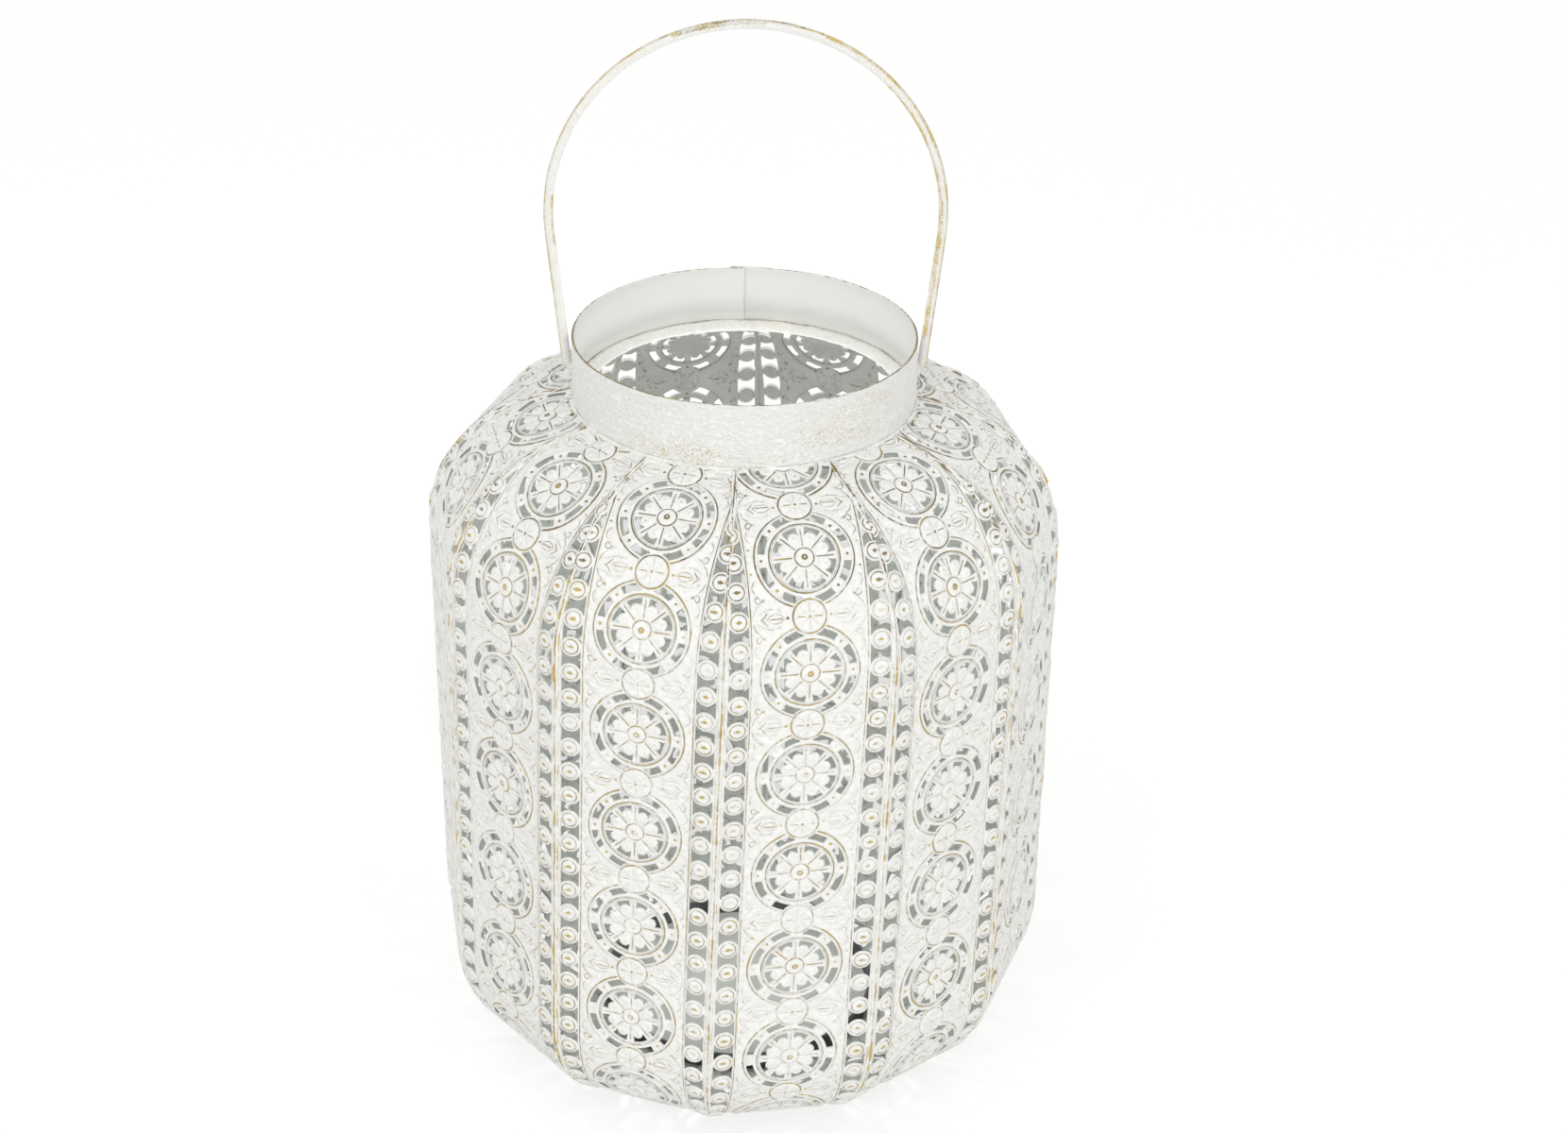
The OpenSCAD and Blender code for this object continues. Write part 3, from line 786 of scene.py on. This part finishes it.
def strip_side(run, lift):
    """radius and height of a point of the strip, from its place along the strip and over the sheet"""
    foot = np.clip(-run / FOOT_BEND, 0, math.pi / 2)
    over = np.maximum(run - WALL_HEIGHT, 0)
    top_turn = np.minimum(over / SHOULDER_BEND, SHOULDER_SWEEP)
    past = over - SHOULDER_BEND * top_turn
    radius = APOTHEM - FOOT_BEND * (1 - np.cos(foot)) - SHOULDER_BEND * (1 - np.cos(top_turn))
    radius = radius - past * math.sin(SHOULDER_SWEEP) + lift * np.cos(foot) * np.cos(top_turn)
    height = FOOT_HEIGHT + np.clip(run, 0, WALL_HEIGHT) - FOOT_BEND * np.sin(foot)
    height = height + SHOULDER_BEND * np.sin(top_turn) + past * math.cos(SHOULDER_SWEEP)
    return radius, height + lift * (np.sin(top_turn) - np.sin(foot))


# the raised rim: its section is (distance from the seam, height over the sheet)
HEM_SECTION = ((0.04, -0.8), (0.04, 0.1), (0.25, 0.4), (0.65, 0.45), (0.95, 0.25), (1.3, 0.0), (1.35, -0.8))
HEM_WEAR = (0.8, 0.85, 0.5, 0.1, 0.35, 0.7, 0.0)
HEM_STEP = 1.6
# it is more uneven from the upper end of the wall on
HEM_PLACES = (WALL_HEIGHT - 30, WALL_HEIGHT + 10)
HEM_UNEVEN = (0.3, 0.75)
BEND_END = APOTHEM - SHOULDER_BEND * (1 - math.cos(SHOULDER_SWEEP))
SEAM_END = NECK_RADIUS * math.cos(math.radians(SEAM_HALF))
STRIP_LENGTH = WALL_HEIGHT + SHOULDER_BEND * SHOULDER_SWEEP + (BEND_END - SEAM_END) / math.sin(SHOULDER_SWEEP)
hem_runs = np.arange(-FOOT_BEND * math.pi / 2, STRIP_LENGTH, HEM_STEP)


def smoothed(row, count):
    """running mean of a row; the result is count - 1 shorter"""
    return np.convolve(row, np.ones(count) / count, "valid")


def hem(side, facing, seed):
    """raised rim along one seam of a strip: its points, its faces, which of them lie inside, and its wear"""
    count = len(hem_runs)
    wobble = np.random.default_rng(seed)
    sway, rise = (smoothed(wobble.normal(0, 1, count + 4), 5) for _ in range(2))
    uneven = np.interp(hem_runs, HEM_PLACES, HEM_UNEVEN)
    edge, _ = strip_side(hem_runs, 0.0)
    edge = edge * math.tan(math.radians(SEAM_HALF))
    turn = math.radians(facing)
    points = []
    for inset, lift in HEM_SECTION:
        radius, height = strip_side(hem_runs, lift + (uneven * rise if lift > 0.2 else 0))
        across = side * (edge - inset - (uneven * sway if inset > 0.5 else 0))
        points.append(np.column_stack([
            across * math.cos(turn) + radius * math.sin(turn),
            across * math.sin(turn) - radius * math.cos(turn), height]))
    ring = len(HEM_SECTION)
    quads = []
    for i in range(count - 1):
        for j in range(ring):
            k = (j + 1) % ring
            corners = (j * count + i, j * count + i + 1, k * count + i + 1, k * count + i)
            quads.append(corners if side < 0 else corners[::-1])
    ends = ([j * count for j in range(ring)], [j * count + count - 1 for j in range(ring)])
    quads.append(tuple(ends[0] if side < 0 else ends[0][::-1]))
    quads.append(tuple(ends[1][::-1] if side < 0 else ends[1]))
    under = [j == ring - 1 for i in range(count - 1) for j in range(ring)] + [False, False]

    # the ground shows through the hem in dabs
    dabs = smoothed(wobble.normal(0, 1, count + 2), 3)
    wears = np.outer(HEM_WEAR, 0.8 + (0.6 + uneven) * np.clip(dabs, 0, 0.9))
    return np.concatenate(points), quads, under, wears.ravel()


def above_neck_foot(shape):
    return [f for f in shape.faces if f.calc_center_median().z > NECK_FOOT * MM]


def trim(mesh, facing):
    """cuts the strip off along its two seams, at the floor plate and round the neck"""
    shape = bmesh.new()
    shape.from_mesh(mesh)
    turn = math.radians(facing)
    outward = Vector((math.sin(turn), -math.cos(turn), 0))
    cuts = [(outward * FOOT_END * MM, -outward)]
    for side in (-1, 1):
        seam = math.radians(facing + side * SEAM_HALF)
        cuts.append((Vector((0, 0, 0)), Vector((math.cos(seam), math.sin(seam), 0)) * side))
    for point, normal in cuts:
        bmesh.ops.bisect_plane(
            shape, geom=shape.verts[:] + shape.edges[:] + shape.faces[:], dist=1e-6,
            plane_co=point, plane_no=normal, clear_outer=True)

    # the round of the neck is cut as five flats
    flats = [Matrix.Rotation(math.radians(a), 3, "Z") @ outward for a in NECK_FLATS]
    for flat_side in flats:
        near = above_neck_foot(shape)
        edges = {e for f in near for e in f.edges}
        bmesh.ops.bisect_plane(
            shape, geom=list({v for e in edges for v in e.verts}) + list(edges) + near, dist=1e-6,
            plane_co=flat_side * NECK_RADIUS * MM, plane_no=flat_side)
    under_neck = [f for f in above_neck_foot(shape)
                  if all(f.calc_center_median().dot(flat_side) < NECK_RADIUS * MM for flat_side in flats)]
    bmesh.ops.delete(shape, geom=under_neck, context="FACES")
    bmesh.ops.triangulate(shape, faces=[f for f in shape.faces if len(f.verts) > 3])
    shape.to_mesh(mesh)
    shape.free()


def add_hems(mesh, facing, seed):
    """joins the raised rims of both seams to the strip"""
    shape = bmesh.new()
    shape.from_mesh(mesh)
    wear_layer = shape.verts.layers.float["line"]
    paint_slot = list(mesh.materials).index(pressed_paint)
    for side in (-1, 1):
        points, quads, under, wears = hem(side, facing, seed + side + 1)
        verts = [shape.verts.new(point * MM) for point in points]
        for vert, wear in zip(verts, wears):
            vert[wear_layer] = wear
        for quad, is_under in zip(quads, under):
            shape.faces.new([verts[i] for i in quad]).material_index = paint_slot + is_under
    shape.to_mesh(mesh)
    shape.free()


def twist(mesh):
    """turns the whole body a little more the higher it is, as it was soldered"""
    places = np.empty(len(mesh.vertices) * 3)
    mesh.vertices.foreach_get("co", places)
    places = places.reshape(-1, 3)
    turn = np.radians(TWIST * (places[:, 2] / MM - TWIST_MIDDLE))
    turned = places.copy()
    turned[:, 0] = places[:, 0] * np.cos(turn) - places[:, 1] * np.sin(turn)
    turned[:, 1] = places[:, 0] * np.sin(turn) + places[:, 1] * np.cos(turn)
    mesh.vertices.foreach_set("co", turned.ravel())


for number, start in enumerate(PATTERN_STARTS):
    facing = FIRST_FACING + number * 2 * SEAM_HALF
    strip = put_in_scene("pressed_strip_%02d" % (number + 1), tile_mesh.copy())
    bending = strip.modifiers.new("bend", "NODES")
    bending.node_group = bend_tree
    bending[socket_id["Start"]] = (start - REPEATS_BELOW) * REPEAT * MM
    bending[socket_id["Facing"]] = math.radians(facing)
    bending[socket_id["Repeats"]] = STRIP_REPEATS
    bending[socket_id["Paint"]] = pressed_paint
    mesh = settled(strip)
    trim(mesh, facing)
    mesh.materials.append(inside_paint)
    wall = strip.modifiers.new("sheet", "SOLIDIFY")
    wall.thickness = SHEET * MM
    wall.offset = -1
    wall.material_offset = 1
    wall.material_offset_rim = 0
    mesh = settled(strip)
    add_hems(mesh, facing, 10 * number)
    twist(mesh)
    mesh.shade_smooth()
    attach(strip, "root")
    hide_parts("panel_%02d" % (number + 1))


# The shoulder ring: a turned-in collar of steel sheet, soldered under the upper ends of the strips.
# Its thick lip shows inside the neck, roughened by hand-brushed paint.
RING_SHEET = 1.0
ROUND_STEPS = 360
RING_REACH = 65.7
# the lip's section is (radius, height over the top of the solid), from the outside in and back again below
LIP_SECTION = (
    (62.45, 1.5), (61.3, 1.3), (60.0, 0.9), (58.7, 0.5), (57.6, 0.2), (57.0, -0.15), (56.8, -0.5),
    (57.1, -0.8), (58.6, -1.6), (60.4, -2.4), (62.3, -3.3),
)


def heights(node):
    """lowest and highest point of a solid"""
    rows = np.array([v.co.z for v in node.data.vertices]) / MM
    return rows.min(), rows.max()


def revolved(name, section, lines, roughness, seed):
    """closed section of (radius, height), carried round the axis, with uneven paint"""
    count = ROUND_STEPS
    wobble = np.random.default_rng(seed)
    section = np.array(section, float)
    middle = section.mean(axis=0)
    away = section - middle
    away /= np.maximum(np.linalg.norm(away, axis=1), 1e-6)[:, None]
    angles = np.arange(count) * 2 * math.pi / count
    rough = wobble.normal(0, 1, (count, len(section)))
    for axis in (0, 1):
        rough = sum(np.roll(rough, shift, axis) for shift in (-2, -1, 0, 1, 2)) / 5 ** 0.5
    places = section[None] + away[None] * (rough * roughness)[:, :, None]
    radii = places[:, :, 0]
    points = np.stack([radii * np.cos(angles)[:, None], radii * np.sin(angles)[:, None], places[:, :, 1]], -1)
    ring = len(section)
    quads = []
    for i in range(count):
        for j in range(ring):
            k = (j + 1) % ring
            n = (i + 1) % count
            quads.append((i * ring + j, n * ring + j, n * ring + k, i * ring + k))
    mesh = bpy.data.meshes.new(name)
    mesh.from_pydata((points.reshape(-1, 3) * MM).tolist(), [], quads)
    point_values(mesh, "line", np.tile(lines, count))
    mesh.shade_smooth()
    return put_in_scene(name, mesh)


ring_low, ring_high = heights(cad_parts["shoulder_ring"])
ring_section = [(RING_REACH, ring_low), (RING_REACH, ring_low + RING_SHEET), (62.5, ring_low + RING_SHEET)]
ring_section += [(radius, ring_high + over) for radius, over in LIP_SECTION]
ring_section += [(63.6, ring_low)]
ring_line = [0.2] * 3 + [0.5, 0.35] + [0.3] * 5 + [0.2] * 5
lip = revolved("painted_collar", ring_section[::-1], ring_line[::-1], roughness=0.13, seed=4)
lip.data.materials.append(white_paint("collar_white", "line", speckle=0.2, gold=0.2, bump=0.8))

# paint has run into the corner between the strips and the band outside
CORNER_Z = 271.0
CORNER_SECTION = ((63.5, -1.0), (64.9, -1.0), (65.0, -0.4), (64.3, 0.0), (63.8, 0.35), (63.5, 0.8))
CORNER_LINE = (0.1, 0.3, 0.75, 0.2, 0.2, 0.3)
corner_section = [(radius, CORNER_Z + over) for radius, over in CORNER_SECTION]
corner = revolved("corner_paint", corner_section, CORNER_LINE, roughness=0.16, seed=9)
shape = bmesh.new()
shape.from_mesh(lip.data)
shape.from_mesh(corner.data)
shape.to_mesh(lip.data)
shape.free()
lip.data.shade_smooth()
bpy.data.objects.remove(corner)
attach(lip, "root")
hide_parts("shoulder_ring")


# The neck band: one plain strip of steel sheet rolled round, its outer end lapped over the inner at the back.
# It stands on the shoulder ring and is soldered to it. It is brushed with white in level strokes; the ground
# shows along the rim and in patches, and the paint inside is smooth.
BAND_INSIDE = 62.5
BAND_SHEET = 0.95
LAP_SHEET = 0.4
LAP_FROM = 89.3
LAP_TO = 94.4
LAP_BLEND = 8
LAP_STEPS = 9
BAND_ROWS = 44
ROW_INSET = 0.6
RIM_ROUND = 0.22
BRUSH_RISE = 0.06
BRUSH_LENGTH = 9
# the rim sways a little: each wave is (rise, waves round the neck, start)
RIM_WAVES = ((0.12, 3, 0.6), (0.07, 7, 0.0))
band_low, band_high = heights(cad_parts["neck_band"])
# worn patches are (direction, half width, height, half height, amount)
BAND_PATCHES = (
    (305, 24, band_high - 10, 11, 3.2), (248, 24, band_low + 6, 6, 2.2), (275, 12, band_low + 3, 5, 1.6),
)
# and along the rim (direction, half width, amount)
RIM_PATCHES = ((208, 40, 0.5), (345, 40, 0.45))
# the lap's end, where the ground shows most: (direction, half width, amount) and the turns that are golden
LAP_PATCH = (92, 4, 1.2)
LAP_GOLD = (445, 455)

# the section is (share of the sheet, height), from the foot outside over the rim to the foot inside
outer_rows = [band_low, *np.linspace(band_low + ROW_INSET, band_high - ROW_INSET, BAND_ROWS)]
outer_rows += [band_high - RIM_ROUND]
inner_rows = [band_high - RIM_ROUND, band_high - 6, band_low]
band_section = [(1.0, z) for z in outer_rows]
band_section += [(0.8, band_high), (0.2, band_high)]
band_section += [(0.0, z) for z in inner_rows]

# round the neck once and on over the lap, where the start is thinner and the end steps out over it
band_degrees = np.concatenate([
    np.arange(LAP_FROM, LAP_FROM + 360, 1.0), np.linspace(LAP_FROM + 360, LAP_TO + 360, LAP_STEPS)])
sheet_here = np.interp(band_degrees, [LAP_TO, LAP_TO + LAP_BLEND], [LAP_SHEET, BAND_SHEET])
step_out = np.interp(band_degrees, [LAP_FROM + 350, LAP_FROM + 360], [0.0, LAP_SHEET + 0.05])
brush = np.random.default_rng(11).normal(0, 1, (len(band_degrees) + BRUSH_LENGTH - 1, len(band_section)))
brush = np.stack([3 * smoothed(column, BRUSH_LENGTH) for column in brush.T], 1)


def spot(degrees, middle, width, z=0.0, level=0.0, tall=1.0):
    """1 in the middle of an oval patch of the band, falling to 0 at its edge"""
    off = ((degrees - middle + 180) % 360 - 180) / width
    return max(0.0, 1 - off * off - ((z - level) / tall) ** 2)


places = []
band_line = []
band_rub = []
band_gold = []
for i, degrees in enumerate(band_degrees):
    turn = math.radians(degrees)
    sway = sum(rise * math.sin(waves * turn + start) for rise, waves, start in RIM_WAVES)
    rim = 0.5 + sum(amount * spot(degrees, middle, width) for middle, width, amount in RIM_PATCHES)
    rim = max(rim, LAP_PATCH[2] * spot(degrees, *LAP_PATCH[:2]))
    for j, (share, z) in enumerate(band_section):
        radius = BAND_INSIDE + step_out[i] + share * sheet_here[i]
        if 0 < j < len(outer_rows) - 1:
            radius += BRUSH_RISE * brush[i, j]
        lift = sway + 0.8 * step_out[i] if z > band_high - 1 else 0
        places.append((radius * math.cos(turn) * MM, radius * math.sin(turn) * MM, (z + lift) * MM))
        band_line.append(rim if 0 < share < 1 else 0.1 * share)
        rub = sum(amount * spot(degrees, middle, width, z, level, tall)
                  for middle, width, level, tall, amount in BAND_PATCHES)
        band_rub.append(0.1 + rub if share == 1 else 0.1)
        band_gold.append(0.8 if share == 1 or LAP_GOLD[0] < degrees < LAP_GOLD[1] else 0.0)
band_line[:len(band_section)] = [0.3] * len(band_section)
band_line[-len(band_section):] = [1.0] * len(band_section)
ring = len(band_section)
quads = [(i * ring + j, (i + 1) * ring + j, (i + 1) * ring + (j + 1) % ring, i * ring + (j + 1) % ring)
         for i in range(len(band_degrees) - 1) for j in range(ring)]
quads += [tuple(range(ring)), tuple(range(len(places) - ring, len(places)))[::-1]]
band_mesh = bpy.data.meshes.new("rolled_band")
band_mesh.from_pydata(places, [], quads)
point_values(band_mesh, "line", band_line)
point_values(band_mesh, "rub", band_rub)
point_values(band_mesh, "gold", band_gold)
band_mesh.shade_smooth()
band = put_in_scene("rolled_band", band_mesh)
band_paint = white_paint("band_white", "line", "rub", "gold", bump=2.6, stretch=(1.2, 1.2, 1.9))
band_mesh.materials.append(band_paint)

# inside, the paint is smooth; its colour runs from light at the foot to greyer towards the rim, painted light
# that evens out the shade above the lip
SMOOTH_FOOT_PAINTED_LIGHT = (0.91, 0.915, 0.89, 1)
SMOOTH_RIM = (0.605, 0.61, 0.59, 1)
smooth_white, smooth_tree, smooth_surface, place = surface_material("band_inside_white")
painted_light_ramp = ramp(smooth_tree, height_of(smooth_tree, place), (band_high - 23.5) * MM, (band_high - 14) * MM)
two_tones(smooth_tree, smooth_surface, painted_light_ramp, SMOOTH_FOOT_PAINTED_LIGHT, SMOOTH_RIM, 0.65)
smooth_surface.inputs["Specular IOR Level"].default_value = 0.2
band_mesh.materials.append(smooth_white)
inner_from = len(outer_rows) + 2
for polygon in band_mesh.polygons:
    if inner_from <= polygon.vertices[0] % ring < ring - 1:
        polygon.material_index = 1
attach(band, "root")
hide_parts("neck_band")


# The handle: one round steel wire bent to an arch, thickly painted, with the ground showing on its outside.
# Its two ends lie on the outside of the neck band and taper off where they are soldered on.
WIRE_RADIUS = 1.72
FOOT_X = 65.425
FOOT_Z = 284.7
ARCH_RADIUS = 70.825
ARCH_Z = 341.2
ARCH_STEPS = 150
LEG_STEPS = 18
WIRE_SIDES = 20
WIRE_LUMPS = 0.07
# the paint is less speckled and its ground browner round the top, between two shares of the wire's length
TOP_SHARES = (0.42, 0.6)
TOP_RUB = 0.35
SIDE_RUB = 0.8
# the bent-in ends are (x, z, radius of the wire)
FOOT_BENDS = (
    (63.5, 280.0, 0.4), (64.0, 280.8, 0.95), (64.7, 282.0, 1.4), (65.2, 283.4, 1.65),
    (65.5, 284.9, WIRE_RADIUS),
)
far = math.hypot(FOOT_X, ARCH_Z - FOOT_Z)
slant = math.atan2(ARCH_Z - FOOT_Z, FOOT_X) - math.acos(ARCH_RADIUS / far)
leg = math.sqrt(far ** 2 - ARCH_RADIUS ** 2)
right_leg = [(x, z) for x, z, _ in FOOT_BENDS]
for d in np.linspace(2, leg - 0.8, LEG_STEPS):
    right_leg.append((FOOT_X + d * math.sin(slant), FOOT_Z + d * math.cos(slant)))
left_leg = [(-x, z) for x, z in right_leg[::-1]]
arch = [(ARCH_RADIUS * math.cos(a), ARCH_Z + ARCH_RADIUS * math.sin(a))
        for a in np.linspace(-slant, math.pi + slant, ARCH_STEPS)]
wire_path = np.array(right_leg + arch + left_leg)
step = np.gradient(wire_path, axis=0)
step /= np.linalg.norm(step, axis=1)[:, None]
outward = np.column_stack([step[:, 1], -step[:, 0]])
run = np.concatenate([[0], np.cumsum(np.linalg.norm(np.diff(wire_path, axis=0), axis=1))])
run /= run[-1]
paint_lumps = np.random.default_rng(5).normal(0, 1, (len(run) + 4, WIRE_SIDES))
paint_lumps = np.stack([smoothed(column, 5) for column in paint_lumps.T], 1)
# each worn streak is (first place along the wire, last place, its middle round the wire, half width, amount)
WIRE_STREAKS = (
    (0.0, 0.2, 8, 65, 0.82), (0.04, 0.2, 130, 65, 0.75), (0.16, 0.42, 12, 80, 0.72),
    (0.18, 0.34, 150, 65, 0.7), (0.4, 0.64, 10, 60, 0.56), (0.48, 0.58, 50, 70, 0.58),
    (0.62, 0.86, 10, 55, 0.75), (0.8, 0.86, 150, 40, 0.8), (0.84, 1.0, 5, 60, 1.0),
)
places = []
wire_line = []
wire_rub = []
for i, share in enumerate(run):
    from_end = min(i, len(run) - 1 - i)
    size_here = FOOT_BENDS[from_end][2] if from_end < len(FOOT_BENDS) else WIRE_RADIUS
    for j in range(WIRE_SIDES):
        angle = 360 * j / WIRE_SIDES
        radius = size_here + WIRE_LUMPS * paint_lumps[i, j]
        x, z = wire_path[i] + outward[i] * radius * math.cos(math.radians(angle))
        places.append((x * MM, -radius * math.sin(math.radians(angle)) * MM, z * MM))
        worn_here = 0.2
        for first, last, middle, width, amount in WIRE_STREAKS:
            if first <= share <= last:
                off = abs((angle - middle + 180) % 360 - 180) / width
                worn_here = max(worn_here, amount * min(1, 1.5 * (1 - off)))
        wire_line.append(worn_here * (1.05 + 0.35 * paint_lumps[i, j]))
        wire_rub.append(TOP_RUB if TOP_SHARES[0] < share < TOP_SHARES[1] else SIDE_RUB)
quads = [(i * WIRE_SIDES + j, i * WIRE_SIDES + (j + 1) % WIRE_SIDES,
          (i + 1) * WIRE_SIDES + (j + 1) % WIRE_SIDES, (i + 1) * WIRE_SIDES + j)
         for i in range(len(run) - 1) for j in range(WIRE_SIDES)]
quads += [tuple(range(WIRE_SIDES))[::-1], tuple(range(len(places) - WIRE_SIDES, len(places)))]
wire_mesh = bpy.data.meshes.new("bent_wire")
wire_mesh.from_pydata(places, [], quads)
point_values(wire_mesh, "line", wire_line)
point_values(wire_mesh, "rub", wire_rub)
wire_mesh.shade_smooth()
wire = put_in_scene("bent_wire", wire_mesh)
wire_mesh.materials.append(white_paint("wire_white", "line", "rub", "rub", bump=0.8, stretch=(4, 4, 4)))
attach(wire, "root")
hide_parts("handle")


# The solder: a small flat lump of soft metal at each end of the wire, which holds it to the neck band.
# It is wider at its foot, a little uneven, and painted over with the handle.
SOLDER_X = 63.75
SOLDER_Z = 281.2
SOLDER_HALF = (1.05, 2.3, 2.9)
SOLDER_SPREAD = 0.3
SOLDER_UNEVEN = 0.05
solder_paint = white_paint("solder_white", line=0.35, speckle=0.3, gold=0.4, bump=0.8)
for name, side in (("weld_left", -1), ("weld_right", 1)):
    shape = bmesh.new()
    bmesh.ops.create_icosphere(shape, subdivisions=3, radius=1.0)
    lumps = np.random.default_rng(20 + side)
    for vert in shape.verts:
        vert.co *= 1 + SOLDER_UNEVEN * float(lumps.normal())
        wide = 1 - SOLDER_SPREAD * vert.co.z
        x = side * SOLDER_X + SOLDER_HALF[0] * vert.co.x
        y = SOLDER_HALF[1] * wide * vert.co.y
        z = SOLDER_Z + SOLDER_HALF[2] * vert.co.z
        vert.co = Vector((x, y, z)) * MM
    lump_mesh = bpy.data.meshes.new("solder_lump")
    shape.to_mesh(lump_mesh)
    shape.free()
    lump_mesh.shade_smooth()
    lump_mesh.materials.append(solder_paint)
    lump = put_in_scene(name.replace("weld", "solder"), lump_mesh)
    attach(lump, "root")
    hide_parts(name)


# The floor plate: a round of steel sheet that closes the foot inside the strips, grey as they are inside.
# The low rim that stands on it is dark. Both keep the shapes of their solids.
DARK_STEEL = (0.05, 0.05, 0.052, 1)
GREY_STEEL = (0.11, 0.108, 0.105, 1)
dark_steel, dark_tree, dark_surface, place = surface_material("dark_steel")
dark_tone = ramp(dark_tree, noise(dark_tree, place, 90, 4), 0.3, 0.7)
two_tones(dark_tree, dark_surface, dark_tone, DARK_STEEL, GREY_STEEL, 0.6)
for name, metal in (("base_plate", inside_paint), ("candle_rim", dark_steel)):
    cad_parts[name].data.materials.clear()
    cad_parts[name].data.materials.append(metal)
